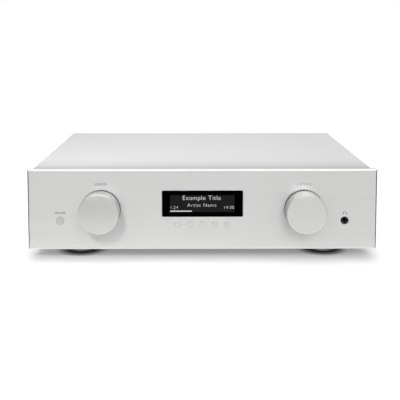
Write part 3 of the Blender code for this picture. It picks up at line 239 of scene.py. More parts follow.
def eased(corners, closed=True, steps=CORNER_STEPS):
    """Points of an outline from corners, each (across, up) or, where it is rounded, with a radius."""
    points = []
    for index, corner in enumerate(corners):
        here = Vector(corner[:2])
        at_end = not closed and index in (0, len(corners) - 1)
        if len(corner) == 2 or at_end:
            points.append(here)
            continue
        radius = corner[2]
        before = (Vector(corners[index - 1][:2]) - here).normalized()
        after = (Vector(corners[(index + 1) % len(corners)][:2]) - here).normalized()
        half = before.angle(after) / 2
        middle = here + (before + after).normalized() * radius / math.sin(half)
        start = here + before * radius / math.tan(half) - middle
        end = here + after * radius / math.tan(half) - middle
        for step in range(steps + 1):
            points.append(middle + start.slerp(end, step / steps).normalized() * radius)
    return points


def smooth(mesh):
    """Shade a mesh smooth between its sharp edges."""
    mesh.shade_smooth()
    mesh.set_sharp_from_angle(angle=SHARP_ANGLE)
    return mesh


def made_object(name, bm, place=(0, 0, 0), turn=UPRIGHT):
    """An object from worked mesh data."""
    bmesh.ops.recalc_face_normals(bm, faces=bm.faces)
    mesh = bpy.data.meshes.new(name)
    bm.to_mesh(mesh)
    bm.free()
    return placed(name, smooth(mesh), place, turn)


def turned(name, corners, place=(0, 0, 0), turn=UPRIGHT, steps=72, closed=False, grip=None):
    """A piece turned about its own Z axis from (radius, height, rounding) corners. A grip changes the
    radius with the angle and the height."""
    profile = eased(corners, closed)
    bm = bmesh.new()
    columns = []
    centres = [bm.verts.new((0, 0, height)) if radius < ON_AXIS else None for radius, height in profile]
    for step in range(steps):
        angle = 2 * math.pi * step / steps
        column = []
        for centre, (radius, height) in zip(centres, profile):
            if grip and centre is None:
                radius = grip(radius, height, angle)
            spun = (radius * math.cos(angle), radius * math.sin(angle), height)
            column.append(centre or bm.verts.new(spun))
        columns.append(column)
    count = len(profile)
    for step, column in enumerate(columns):
        beside = columns[(step + 1) % steps]
        for low in range(count if closed else count - 1):
            high = (low + 1) % count
            face = list(dict.fromkeys([column[low], column[high], beside[high], beside[low]]))
            if len(face) > 2:
                bm.faces.new(face)
    return made_object(name, bm, place, turn)


def block(name, low, high, edge=0, steps=2, chosen=None):
    """A box between two corners, with all edges, or the chosen ones, rounded."""
    bm = bmesh.new()
    bmesh.ops.create_cube(bm, size=1)
    bmesh.ops.scale(bm, vec=[b - a for a, b in zip(low, high)], verts=bm.verts)
    if edge:
        edges = [e for e in bm.edges if not chosen or chosen(*(v.co for v in e.verts))]
        bmesh.ops.bevel(bm, geom=edges, offset=edge, segments=steps, profile=0.5, affect="EDGES")
    bmesh.ops.translate(bm, vec=[(a + b) / 2 for a, b in zip(low, high)], verts=bm.verts)
    return made_object(name, bm)


def carve(piece, *tools, how="DIFFERENCE"):
    """Cut shapes out of a piece for good, or join them to it."""
    for tool in tools:
        step = piece.modifiers.new(tool.name, "BOOLEAN")
        step.operation = how
        step.object = tool
    worked = piece.evaluated_get(bpy.context.evaluated_depsgraph_get())
    mesh = bpy.data.meshes.new_from_object(worked)
    piece.modifiers.clear()
    piece.data = smooth(mesh)
    for tool in tools:
        bpy.data.objects.remove(tool)
    return piece


def gather(name, pieces):
    """One object out of several like pieces."""
    bm = bmesh.new()
    bpy.context.view_layer.update()
    for piece in pieces:
        piece.data.transform(piece.matrix_world)
        bm.from_mesh(piece.data)
        bpy.data.objects.remove(piece)
    return made_object(name, bm)


def put(piece, material, *nodes, body="chassis"):
    """Finish a piece: its material, the body it rides on and the CAD pieces it stands for."""
    piece.data.materials.clear()
    piece.data.materials.append(material)
    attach(piece, body)
    if nodes:
        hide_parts(*nodes)
    return piece


def screws(name, places, turn, radius):
    """Pan-head steel screws with a crossed recess, all facing one way, as one piece."""
    height, slit, reach = 0.55 * radius, 0.14 * radius, 0.62 * radius
    corners = [(0, height), (0.5 * radius, height, 0.5 * radius), (radius, 0.3 * height, 0.1 * radius)]
    corners += [(radius, 0), (0, 0)]
    heads = []
    for number, place in enumerate(places):
        head = turned(f"{name}_{number}", corners, steps=24)
        carve(head, *(
            block("slit", (-along, -across, 0.35 * height), (along, across, 2 * height))
            for along, across in ((reach, slit), (slit, reach))
        ))
        facing = Euler(turn).to_matrix().to_4x4() @ Matrix.Rotation(number + 0.4, 4, "Z")
        head.matrix_world = Matrix.Translation(place) @ facing
        heads.append(head)
    put(gather(name, heads), steel)


def turned_pattern(tree, groove):
    """Fine rings left by the lathe: round the axis on an end face, and along it on a side."""
    point = piece_coordinates(tree)
    radius = vector_sums(tree, "LENGTH", vector_sums(tree, "MULTIPLY", point, (1.0, 1.0, 0.0)))
    height = split_xyz(tree, point)[2]
    across, along = (sums(tree, "DIVIDE", measure, groove) for measure in (radius, height))
    return noise(tree, join_xyz(tree, across, along, 0.0), 2.0)


FOOT_EDGE = 0.0006
FOOT_GROOVE = 0.0008
FOOT_GROOVE_RISE = 0.0090
PAD_HOLE = 0.0075
FOOT_RECESS = 0.0015
FOOT_SCREW_RADIUS = 0.002
turning = surface_effect("turning_rings", ["Groove"], turned_pattern)
foot_grey = finish(
    "satin_grey_foot", (0.27, 0.27, 0.265), 0.30,
    turning(0.0006, tone=0.15, rough=0.1, depth=6e-6), skin(0.004, tone=0.1, rough=0.12),
    slot="foot_grey", metallic=0.8,
)
rubber = finish(
    "black_rubber", (0.018, 0.018, 0.018), 0.75, skin(0.0006, tone=0.3, rough=0.2, depth=3e-5),
    slot="black_rubber", specular=0.25,
)
steel = finish(
    "bright_steel", (0.6, 0.6, 0.6), 0.3,
    turning(0.0004, tone=0.08, rough=0.1, depth=3e-6), skin(0.002, tone=0.08, rough=0.15),
    slot="bright_steel", metallic=1.0,
)
for corner in ("front_left", "front_right", "rear_left", "rear_right"):
    low, high, middle, size = measured(f"foot_{corner}")
    axis = Vector((middle.x, middle.y, 0))
    radius = size[0] / 2
    inner = radius - FOOT_GROOVE
    groove = low.z + FOOT_GROOVE_RISE
    roof = low.z + FOOT_RECESS
    corners = [
        (0, high.z), (radius, high.z, FOOT_EDGE),
        (radius, groove + FOOT_GROOVE, CRISP), (inner, groove + FOOT_GROOVE / 2),
        (inner, groove - FOOT_GROOVE / 2), (radius, groove - FOOT_GROOVE, CRISP),
        (radius, low.z + FOOT_EDGE, SOFT), (radius - FOOT_EDGE, low.z, SOFT),
        (PAD_HOLE, low.z), (PAD_HOLE, roof), (0, roof),
    ]
    put(turned(f"turned_foot_{corner}", corners, axis), foot_grey, f"foot_{corner}")
    low, high, middle, size = measured(f"foot_pad_{corner}")
    rim = size[0] / 2
    corners = [(rim, high.z, SOFT), (rim, low.z, ROUND), (PAD_HOLE, low.z, EASY), (PAD_HOLE, high.z)]
    put(turned(f"rubber_pad_{corner}", corners, axis, closed=True), rubber, f"foot_pad_{corner}")
    screws(f"foot_screw_{corner}", [axis + Vector((0, 0, roof))], DOWNWARDS, FOOT_SCREW_RADIUS)

# Subpanel, encoders and shafts
# A zinc-plated sheet behind the front panel carries the two rotary encoders. Each encoder has a
# bright steel shaft that its knob is pushed onto.
dress(zinc, "subpanel", "input_encoder", "volume_encoder")
dress(steel, "input_shaft", "volume_shaft")

# Boards, display module and ribbon
# Glass-fibre boards under green solder mask stand on spacers in the tray. A ribbed grey ribbon runs
# from the socket board to the control board, and the display is a black module on that board.
BAND_AT_ONE = 0.314                      # width of a wave texture's band at scale 1


def strand_pattern(tree, pitch):
    """Ribs that run from front to back, one for each wire of a flat ribbon."""
    scale = sums(tree, "DIVIDE", BAND_AT_ONE, pitch)
    return made_node(tree, "TexWave", {"Vector": piece_coordinates(tree), "Scale": scale})["Fac"]


strands = surface_effect("ribbon_strands", ["Pitch"], strand_pattern)
board_green = finish(
    "green_solder_mask", (0.03, 0.14, 0.06), 0.4,
    spangle(0.003, tone=0.25, rough=0.1, depth=2e-5), skin(0.0006, tone=0.15, rough=0.1, depth=5e-6),
)
ribbon_grey = finish(
    "ribbed_grey_ribbon", (0.4, 0.4, 0.42), 0.5, strands(0.00127, tone=0.2, rough=0.1, depth=3e-4)
)
black_plastic = finish(
    "black_moulded_plastic", (0.02, 0.02, 0.02), 0.42,
    skin(0.0004, tone=0.25, rough=0.16, depth=1e-5), skin(0.006, tone=0.2, rough=0.1),
    slot="black_plastic", specular=0.4,
)
dress(board_green, "control_board", "power_supply_board", "socket_board")
dress(board_green, "amplifier_board_left", "amplifier_board_right")
dress(ribbon_grey, "control_ribbon")
dress(black_plastic, "display_module")

# Power supply and heatsinks
# The toroidal transformer is wound in varnished tape and clamped by a steel plate and one bolt. Two
# sleeved capacitors stand behind it, and a black anodised extrusion runs along each side.
BLOTCH = 0.004                           # size of a blotch in the varnish
BAND_SHARE = 0.6                         # of the tape's bands in the pattern, beside the blotches
coil_middle = measured("mains_transformer")[2]


def wound_pattern(tree, turn):
    """Tape wound round a ring: narrow bands that fan out from the middle of the coil."""
    point = vector_sums(tree, "SUBTRACT", piece_coordinates(tree), tuple(coil_middle))
    x, y, _ = split_xyz(tree, point)
    bands = sums(tree, "FRACT", sums(tree, "DIVIDE", sums(tree, "ARCTAN2", y, x), turn))
    blotches = noise(tree, vector_sums(tree, "DIVIDE", point, (BLOTCH, BLOTCH, BLOTCH)), 2.0)
    return sums(tree, "MULTIPLY_ADD", bands, BAND_SHARE, sums(tree, "MULTIPLY", blotches, 1 - BAND_SHARE))


winding = surface_effect("wound_tape", ["Turn"], wound_pattern)
wound_tape = finish(
    "varnished_tape", (0.35, 0.2, 0.08), 0.35, winding(math.radians(4), tone=0.5, rough=0.2, depth=4e-4)
)
anodised_black = finish(
    "black_anodised_aluminium", (0.03, 0.03, 0.03), 0.5,
    skin(0.0012, tone=0.3, rough=0.15, depth=1e-5), metallic=0.8,
)
sleeve = finish(
    "capacitor_sleeve", (0.02, 0.03, 0.06), 0.28, skin(0.003, tone=0.3, rough=0.15, depth=2e-5)
)
dress(wound_tape, "mains_transformer")
dress(steel, "transformer_plate", "transformer_bolt")
dress(sleeve, "smoothing_capacitor_left", "smoothing_capacitor_right")
dress(anodised_black, "heatsink_left", "heatsink_right")

# Rear panel
# A sheet in the same satin silver paint as the cover, pierced for the sockets. It is screwed to the
# tray and the cover along its edges, and words for the sockets are printed on it.
FACING_BACK = (math.pi / 2, 0, math.pi)
CAPITAL_SHARE = 0.729                    # height of a capital in the letters' own size
PRINT_THICKNESS = 0.00006
PAINT_COLOUR = (0.768, 0.768, 0.768)
PAINT_ROUGHNESS = 0.55
PAINT_SPECULAR = 0.05
THROUGH = 0.003                          # how far a cutter reaches past the sheet
FIT = 0.0003
PHONO_COLLAR = 0.0056
PHONO_PITCH = 0.020
PHONO_FIRST_ROW = 0.010
PHONO_ROW_PITCH = 0.018
PHONO_MARGIN = 0.0085
INLET_BODY = (0.028, 0.0204)
SWITCH_BODY = (0.0146, 0.0216)
STUD_HOLE = 0.00405


def prism(name, outline, start, stop, axis="Y", end_outline=None):
    """A flat outline drawn out along an axis: Y takes (x, z) points and X takes (y, z)."""
    bm = bmesh.new()
    ends = []
    for points, level in ((outline, start), (end_outline or outline, stop)):
        ring = [(level, across, up) if axis == "X" else (across, level, up) for across, up in points]
        ends.append([bm.verts.new(place) for place in ring])
    for index in range(len(outline)):
        following = (index + 1) % len(outline)
        bm.faces.new([ends[0][index], ends[0][following], ends[1][following], ends[1][index]])
    for ring in ends:
        bm.faces.new(ring)
    return made_object(name, bm)


def rectangle(middle, size, radius, steps=CORNER_STEPS):
    """Outline of a rectangle with rounded corners, by the first and last values of middle and size."""
    right, top = size[0] / 2, size[-1] / 2
    corners = [(-right, -top), (right, -top), (right, top), (-right, top)]
    return eased([(middle[0] + across, middle[-1] + up, radius) for across, up in corners], steps=steps)


def slab(name, middle, size, radius, start, stop):
    """A rectangular plate with rounded corners between two depths."""
    return prism(name, rectangle(middle, size, radius), start, stop)


def round_cutter(name, radius, middle, y, steps):
    """A cutter for a round hole, driven in from behind."""
    corners = [(0, THROUGH), (radius, THROUGH), (radius, -2 * THROUGH), (0, -2 * THROUGH)]
    return turned(name, corners, (middle[0], y, middle[-1]), TO_BACK, steps)


def words(name, text, cap, place, turn, stroke=0.0, tracking=1.0):
    """Printed words as a thin layer, by the height of a capital and their middle. A stroke thickens
    them, and tracking sets the letters apart."""
    letters = bpy.data.curves.new(name, "FONT")
    letters.body = text
    letters.resolution_u = 3
    letters.extrude = PRINT_THICKNESS / 2
    letters.size = cap / CAPITAL_SHARE
    letters.offset = stroke
    letters.space_character = tracking
    shown = placed(name, letters)
    mesh = bpy.data.meshes.new_from_object(shown.evaluated_get(bpy.context.evaluated_depsgraph_get()))
    bpy.data.objects.remove(shown)
    left, right = (pick(v.co.x for v in mesh.vertices) for pick in (min, max))
    mesh.transform(Matrix.Translation((-(left + right) / 2, -cap / 2, 0)))
    return placed(name, mesh, place, turn)


def phono_places(node):
    """Axes of a block's phono sockets, as (x, z), column by column."""
    low, _, _, size = measured(node)
    count = round((size[0] - 2 * PHONO_MARGIN) / PHONO_PITCH) + 1
    rows = [low.z + PHONO_FIRST_ROW + row * PHONO_ROW_PITCH for row in range(2)]
    return [(low.x + PHONO_MARGIN + column * PHONO_PITCH, z) for column in range(count) for z in rows]


paint_skin = [
    skin(0.0007, tone=0.05, rough=0.1, depth=6e-6), skin(0.03, tone=0.03, rough=0.08, depth=1e-5)
]
paint = finish(
    "satin_silver_paint", PAINT_COLOUR, PAINT_ROUGHNESS, *paint_skin,
    slot="cover_silver", specular=PAINT_SPECULAR,
)
print_grey = finish(
    "dark_grey_print", (0.05, 0.05, 0.052), 0.6, skin(0.0003, tone=0.2, rough=0.1, depth=2e-6),
    slot="black_plastic",
)
rear_low, rear_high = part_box("rear_panel")
inlet_low, inlet_high, inlet_middle, inlet_size = measured("mains_inlet")
switch_low, switch_high, switch_middle, switch_size = measured("mains_switch_frame")
plate_low, plate_high, plate_middle, plate_size = measured("terminal_plate")
network_low, network_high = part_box("network_sockets")
socket_x = (network_low.x + network_high.x) / 2
post_places = [measured(f"terminal_stud_{number}")[2] for number in range(1, 5)]
line_in, line_out = phono_places("line_input_sockets"), phono_places("line_output_sockets")
rear = block("pierced_rear_panel", rear_low, rear_high, EASY)
through = (rear_low.y - THROUGH, rear_high.y + THROUGH)
cutters = []
for middle, size in ((inlet_middle, INLET_BODY), (switch_middle, SWITCH_BODY)):
    cutters.append(slab("body_opening", middle, [side + 2 * FIT for side in size], FULL, *through))
cutters += [round_cutter("stud_opening", STUD_HOLE, place, rear_high.y, 32) for place in post_places]
for place in line_out + line_in:
    cutters.append(round_cutter("phono_opening", PHONO_COLLAR + FIT, place, rear_high.y, 40))
shield = block(
    "shield_opening",
    (network_low.x - FIT, through[0], network_low.z - FIT),
    (network_high.x + FIT, through[1], network_high.z + FIT),
)
put(carve(rear, *cutters, shield), paint, "rear_panel")

REAR_SCREW_RADIUS = 0.0026
REAR_SCREW_INSET = 0.006
REAR_SCREW_X = 0.068                     # of the inner ones
screw_xs = [rear_low.x + REAR_SCREW_INSET, -REAR_SCREW_X, REAR_SCREW_X, rear_high.x - REAR_SCREW_INSET]
screw_zs = [rear_low.z + REAR_SCREW_INSET, rear_high.z - REAR_SCREW_INSET]
screw_places = [(x, rear_high.y, z) for x in screw_xs for z in screw_zs]
screws("rear_screws", screw_places, TO_BACK, REAR_SCREW_RADIUS)

REAR_CAP = 0.0026
SMALL_CAP = 0.0021
LINE_STEP = 0.005                        # from one line of words to the next
INLET_RISE = 0.0185                      # words above the middle of the inlet
PHONO_RISE = 0.0115                      # and above the middle of an upper phono socket
NETWORK_GAP = 0.0035                     # and off the network sockets
SIDE_GAP = 0.0095                        # letters beside the middle of a phono socket
above_posts = plate_high.z + LINE_STEP
above_phono = line_in[1][1] + PHONO_RISE
rear_words = [
    ("MAINS", REAR_CAP, inlet_middle.x, inlet_middle.z + INLET_RISE),
    ("POWER", REAR_CAP, switch_middle.x, switch_high.z + LINE_STEP),
    ("LOUDSPEAKERS", REAR_CAP, sum(place.x for place in post_places) / 4, above_posts + LINE_STEP),
    ("RIGHT", SMALL_CAP, (post_places[0].x + post_places[1].x) / 2, above_posts),
    ("LEFT", SMALL_CAP, (post_places[2].x + post_places[3].x) / 2, above_posts),
    ("LINE OUT", SMALL_CAP, line_out[0][0], above_phono + LINE_STEP),
    ("LINE IN", REAR_CAP, line_in[2][0], above_phono + LINE_STEP),
    ("NETWORK", SMALL_CAP, socket_x, network_low.z - NETWORK_GAP),
    ("DATA", SMALL_CAP, socket_x, network_high.z + NETWORK_GAP),
]
rear_words += [(str(number + 1), SMALL_CAP, line_in[2 * number][0], above_phono) for number in range(3)]
rear_words += [(letter, SMALL_CAP, x - SIDE_GAP, z) for letter, (x, z) in zip("RL", line_out)]
printed = [
    words(f"rear_word_{number}", text, cap, (x, rear_high.y + PRINT_THICKNESS / 4, z), FACING_BACK)
    for number, (text, cap, x, z) in enumerate(rear_words)
]
put(gather("rear_print", printed), print_grey)

# Mains inlet
# A black moulded inlet with a flange and two screws. Its mouth has cut-off upper corners, and three
# tinned blades stand in it.
FLANGE_THICKNESS = 0.0025
FLANGE_CORNER = 0.003
MOUTH = (0.0244, 0.0168)
MOUTH_DEPTH = 0.0165
MOUTH_CUT = 0.0046
MOUTH_CORNER = 0.001
BLADE = (0.002, 0.004)
BLADE_PLACES = ((-0.007, -0.002), (0, 0.002), (0.007, -0.002))
BLADE_RECESS = 0.0025
EAR_SCREW_INSET = 0.005
EAR_SCREW_RADIUS = 0.0025
inlet_back = inlet_high.y
flange_front = inlet_back - FLANGE_THICKNESS
mouth_floor = inlet_back - MOUTH_DEPTH
inlet = slab("moulded_inlet_flange", inlet_middle, inlet_size, FLANGE_CORNER, flange_front, inlet_back)
inlet_body = slab("inlet_body", inlet_middle, INLET_BODY, MOUTH_CORNER, inlet_low.y, flange_front + FIT)
left, right = inlet_middle.x - MOUTH[0] / 2, inlet_middle.x + MOUTH[0] / 2
foot, top = inlet_middle.z - MOUTH[1] / 2, inlet_middle.z + MOUTH[1] / 2
mouth_shape = eased([(across, up, MOUTH_CORNER) for across, up in (
    (left, foot), (right, foot), (right, top - MOUTH_CUT),
    (right - MOUTH_CUT, top), (left + MOUTH_CUT, top), (left, top - MOUTH_CUT),
)])
carve(inlet, inlet_body, how="UNION")
carve(inlet, prism("inlet_mouth", mouth_shape, mouth_floor, inlet_back + THROUGH))
put(inlet, black_plastic, "mains_inlet")
blades = []
for across, up in BLADE_PLACES:
    at = (inlet_middle.x + across, inlet_middle.z + up)
    blades.append(slab(f"blade_{across}", at, BLADE, ROUND, mouth_floor - FIT, inlet_back - BLADE_RECESS))
tinned = finish(
    "tinned_brass", (0.62, 0.6, 0.55), 0.28, skin(0.001, tone=0.12, rough=0.15, depth=4e-6),
    slot="bright_steel", metallic=1.0,
)
put(gather("inlet_blades", blades), tinned)
ear_xs = (inlet_low.x + EAR_SCREW_INSET, inlet_high.x - EAR_SCREW_INSET)
screws("inlet_screws", [(x, inlet_back, inlet_middle.z) for x in ear_xs], TO_BACK, EAR_SCREW_RADIUS)

# Mains switch
# A black frame snapped into the rear panel, and a rocker on a pivot in it. The rocker rests tilted to
# on, with its marks printed in white on the two dished halves.
RIM_THICKNESS = 0.0015
RIM_CORNER = 0.0016
BODY_CORNER = 0.0006
ROCKER_TILT = math.radians(9)
ROCKER_SINK = 0.0015
ROCKER_FACE = 0.003
ROCKER_HALF = 0.0085
ROCKER_ROOT = 0.005
ROCKER_TAPER = 0.003
ROCKER_DISH = 0.0012
DISH_POWER = 0.8
DISH_STEPS = 9
ROCKER_HOLLOW = (0.0118, 0.0188)
MARK_CAP = 0.0034
MARK_SLOPE = math.atan2(ROCKER_DISH, ROCKER_HALF)


def dished(up):
    """How far the rocker's face stands out at a height."""
    return ROCKER_FACE - ROCKER_DISH * (1 - abs(up) / ROCKER_HALF) ** DISH_POWER


rim_back, rim_front = switch_high.y, switch_high.y - RIM_THICKNESS
hollow_floor = switch_low.y + RIM_THICKNESS
switch = slab("switch_frame_rim", switch_middle, switch_size, RIM_CORNER, rim_front, rim_back)
switch_body = slab("switch_body", switch_middle, SWITCH_BODY, BODY_CORNER, switch_low.y, rim_front + FIT)
carve(switch, switch_body, how="UNION")
carve(switch, slab("switch_hollow", switch_middle, ROCKER_HOLLOW, ROUND, hollow_floor, rim_back + THROUGH))
put(switch, black_plastic, "mains_switch_frame")
rocker_low, rocker_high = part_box("mains_rocker")
pivot = Vector((switch_middle.x, rim_back - ROCKER_SINK, switch_middle.z))
heights = [ROCKER_HALF * (1 - 2 * step / DISH_STEPS) for step in range(1, DISH_STEPS)]
section = [(ROCKER_FACE, ROCKER_HALF, FULL), *((dished(up), up) for up in heights)]
section += [
    (ROCKER_FACE, -ROCKER_HALF, FULL),
    (-ROCKER_ROOT, ROCKER_TAPER - ROCKER_HALF, FULL), (-ROCKER_ROOT, ROCKER_HALF - ROCKER_TAPER, FULL),
]
rocker = prism("dished_rocker", eased(section), rocker_low.x - pivot.x, rocker_high.x - pivot.x, "X")
rocker.location = pivot
rocker.rotation_euler = (ROCKER_TILT, 0, 0)
put(rocker, black_plastic, "mains_rocker", body="mains_rocker")
print_white = finish(
    "white_print", (0.75, 0.75, 0.75), 0.5, skin(0.0003, tone=0.1, rough=0.1, depth=2e-6),
    slot="black_plastic",
)
marks = []
for text, side in (("I", 1), ("O", -1)):
    mark = words(f"rocker_mark_{text}", text, MARK_CAP, (0, 0, 0), FACING_BACK)
    mark.matrix_world = (
        Matrix.Translation(pivot)
        @ Matrix.Rotation(ROCKER_TILT, 4, "X")
        @ Matrix.Translation((0, dished(ROCKER_HALF / 2) + PRINT_THICKNESS, side * ROCKER_HALF / 2))
        @ Matrix.Rotation(side * MARK_SLOPE, 4, "X")
        @ Euler(FACING_BACK).to_matrix().to_4x4()
    )
    marks.append(mark)
put(gather("rocker_marks", marks), print_white, body="mains_rocker")

# Loudspeaker terminals
# A moulded plate insulates four gold-plated studs. Each stud has a clamping washer and a fluted black
# screw cap with a coloured ring, red for plus and white for minus.
PLATE_CORNER = 0.003
STUD_THREAD = 0.00375
STUD_BORE = 0.0021
STUD_BORE_DEPTH = 0.018
COLLAR_RADIUS = 0.00625
COLLAR_THICKNESS = 0.0025
THREAD_PITCH = 0.001
THREAD_DEPTH = 0.0003
THREAD_LEAD = 0.001                      # plain length at each end of the thread
CAP_FLUTES = 14
CAP_FLUTE_DEPTH = 0.0007
CAP_MOUTH = 0.00275
CAP_END = 0.0012
CAP_BORE = 0.00415
CAP_WALL = 0.001                         # at the least
CAP_TAPER = 0.0004
CAP_RING = 0.003
RING_SINK = 0.0001
RING_WALL = 0.0008
RING_ENDS = (0.0002, 0.0008)             # from the ends of the part of the cap that it sits on
GRIP_START = 0.003
GRIP_GAP = 0.0014                        # between the grip and the ring
GRIP_STEPS = 6
GRIP_FADE = 0.0006                       # length over which the flutes run out
SIGN_CAP = 0.0034
SIGN_RISE = 0.0024
plate = slab("moulded_terminal_plate", plate_middle, plate_size, PLATE_CORNER, plate_low.y, plate_high.y)
holes = [round_cutter("plate_hole", STUD_HOLE, place, plate_high.y, 32) for place in post_places]
put(carve(plate, *holes), black_plastic, "terminal_plate")
gold = finish(
    "gold_plated_brass", (0.85, 0.62, 0.25), 0.22,
    turning(0.0003, tone=0.08, rough=0.08, depth=4e-6), skin(0.003, tone=0.06, rough=0.12),
    slot="gold_brass", metallic=1.0,
)
red_plastic = finish(
    "red_moulded_plastic", (0.5, 0.02, 0.02), 0.35, skin(0.0005, tone=0.15, rough=0.12, depth=8e-6),
    slot="black_plastic",
)
signs = []
for number, place in enumerate(post_places, 1):
    low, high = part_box(f"terminal_stud_{number}")
    collar_back = plate_high.y + FIT + COLLAR_THICKNESS
    tip, tail = high.y - collar_back, low.y - collar_back
    bore_floor = tip - STUD_BORE_DEPTH
    corners = [(0, bore_floor), (STUD_BORE, bore_floor), (STUD_BORE, tip, EASY), (STUD_THREAD, tip, ROUND)]
    for turn in range(int((tip - 2 * THREAD_LEAD) / THREAD_PITCH)):
        crest = tip - THREAD_LEAD - turn * THREAD_PITCH
        corners += [(STUD_THREAD, crest), (STUD_THREAD - THREAD_DEPTH, crest - THREAD_PITCH / 2)]
    corners += [
        (STUD_THREAD, 0), (COLLAR_RADIUS, 0, ROUND), (COLLAR_RADIUS, -COLLAR_THICKNESS, SOFT),
        (STUD_THREAD, -COLLAR_THICKNESS), (STUD_THREAD, tail, ROUND), (0, tail),
    ]
    stud = turned(f"threaded_stud_{number}", corners, (place.x, collar_back, place.z), TO_BACK, 48)
    put(stud, gold, f"terminal_stud_{number}")

    name = f"terminal_washer_{number}"
    low, _, _, size = measured(name)
    rim, top = size[0] / 2, size[1]
    corners = [(rim, top, ROUND), (rim, 0, ROUND), (CAP_BORE, 0, SOFT), (CAP_BORE, top, SOFT)]
    washer = turned(f"turned_washer_{number}", corners, (place.x, low.y, place.z), TO_BACK, 48, True)
    put(washer, gold, name, body=name)

    name = f"terminal_cap_{number}"
    low, _, _, size = measured(name)
    axis = (place.x, low.y, place.z)
    rim, top = size[0] / 2, size[1]
    shoulder = top - CAP_RING
    grip_end = shoulder - GRIP_GAP

    def fluted(radius, height, angle):
        """Radius of the cap with flutes along its grip."""
        if radius < CAP_BORE + CAP_WALL or not GRIP_START <= height <= grip_end:
            return radius
        return radius - CAP_FLUTE_DEPTH * (0.5 + 0.5 * math.cos(CAP_FLUTES * angle)) ** 2

    corners = [(rim, grip_end + GRIP_FADE)]
    for step in range(GRIP_STEPS + 1):
        corners.append((rim, grip_end + (GRIP_START - grip_end) * step / GRIP_STEPS))
    corners += [
        (rim, GRIP_START - GRIP_FADE), (rim, 0, FULL),
        (CAP_BORE, 0, SOFT), (CAP_BORE, top - CAP_END),
        (CAP_MOUTH, top - CAP_END), (CAP_MOUTH, top, ROUND),
        (rim - 2 * CAP_TAPER, top, ROUND), (rim - CAP_TAPER, shoulder, SOFT),
    ]
    cap = turned(f"fluted_cap_{number}", corners, axis, TO_BACK, 112, True, fluted)
    put(cap, black_plastic, name, body=name)
    outer, inner = rim - RING_SINK, rim - RING_SINK - RING_WALL
    start, end = shoulder + RING_ENDS[0], top - RING_ENDS[1]
    corners = [(outer, start, SOFT), (inner, start), (inner, end), (outer, end, EASY)]
    plus = number in (1, 3)
    ring = turned(f"cap_ring_{number}", corners, axis, TO_BACK, 64, True)
    put(ring, red_plastic if plus else print_white, body=name)
    at = (place.x, plate_high.y + PRINT_THICKNESS / 4, plate_low.z + SIGN_RISE)
    signs.append(words(f"terminal_sign_{number}", "+" if plus else "-", SIGN_CAP, at, FACING_BACK))
put(gather("terminal_signs", signs), print_white)

# Line sockets
# Moulded blocks on the socket board hold pairs of phono sockets: gold-plated shells over coloured
# insulators, white above for left and red below for right.
PHONO_SHELL = 0.00415
PHONO_BORE = 0.00355                     # the shell's inside
PHONO_REACH = 0.0095
PHONO_PROUD = 0.001
PHONO_HOLE = 0.0017
PHONO_HOLE_DEPTH = 0.008
FILLING_SINK = 0.0006
SNUG = 0.0001                            # between faces that fit closely
white_plastic = finish(
    "white_moulded_plastic", (0.72, 0.72, 0.7), 0.4, skin(0.0005, tone=0.08, rough=0.12, depth=8e-6),
    slot="black_plastic",
)
housing_back = rear_low.y - FIT
root = housing_back - rear_high.y
sunk, hole_floor = PHONO_REACH - FILLING_SINK, PHONO_REACH - PHONO_HOLE_DEPTH
bore = PHONO_SHELL - SNUG
collar = [(bore, root), (PHONO_COLLAR, root), (PHONO_COLLAR, PHONO_PROUD, EASY), (bore, PHONO_PROUD)]
shell = [(PHONO_SHELL, PHONO_REACH, SOFT), (PHONO_SHELL, 0), (PHONO_BORE, 0), (PHONO_BORE, PHONO_REACH, SOFT)]
filling = [
    (0, hole_floor), (PHONO_HOLE, hole_floor), (PHONO_HOLE, sunk, EASY),
    (PHONO_BORE, sunk, SOFT), (PHONO_BORE, 0), (0, 0),
]
for node, places in (("line_output_sockets", line_out), ("line_input_sockets", line_in)):
    low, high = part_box(node)
    housing = [block(f"{node}_housing", low, (high.x, housing_back, high.z), ROUND)]
    shells, insulators = [], {"white": [], "red": []}
    for number, (x, z) in enumerate(places):
        at = (x, rear_high.y, z)
        housing.append(turned(f"{node}_collar_{number}", collar, at, TO_BACK, 48, True))
        shells.append(turned(f"{node}_shell_{number}", shell, at, TO_BACK, 48, True))
        colour = "white" if number % 2 else "red"
        insulators[colour].append(turned(f"{node}_{colour}_{number}", filling, at, TO_BACK, 40))
    put(gather(f"{node}_block", housing), black_plastic, node)
    put(gather(f"{node}_shells", shells), gold)
    put(gather(f"{node}_left", insulators["white"]), white_plastic)
    put(gather(f"{node}_right", insulators["red"]), red_plastic)

# Network sockets
# One shielded block holds a network socket with eight sprung contacts below and a data socket with a
# flat tongue above. Two small lenses show link and traffic.
LAN_MOUTH = (0.0120, 0.0084)
DATA_MOUTH = (0.0132, 0.0056)
SOCKET_WALL = 0.0017
SOCKET_DEPTH = 0.014
LINING_RISE = 0.0022                     # its foot above the middle of the mouth
LINING_SINK = 0.0012
TONGUE_HALF = 0.0055
TONGUE_RISE = 0.0017
TONGUE_SINK = 0.0015
LENS_SIZE = (0.0024, 0.0012)
LENS_ASIDE = 0.0042
LENS_RISE = 0.0022
LENS_SINK = 0.001
LENS_PROUD = 0.0003
face = network_high.y
socket_floor = face - SOCKET_DEPTH
lan_z = network_low.z + SOCKET_WALL + LAN_MOUTH[1] / 2
data_z = network_high.z - SOCKET_WALL - DATA_MOUTH[1] / 2
lan_half, lan_top = LAN_MOUTH[0] / 2 - SNUG, lan_z + LAN_MOUTH[1] / 2
shield = block("socket_shield", network_low, network_high, ROUND)
mouths = [
    slab("socket_mouth", (socket_x, z), size, EASY, socket_floor, face + THROUGH)
    for z, size in ((lan_z, LAN_MOUTH), (data_z, DATA_MOUTH))
]
put(carve(shield, *mouths), tinned, "network_sockets")
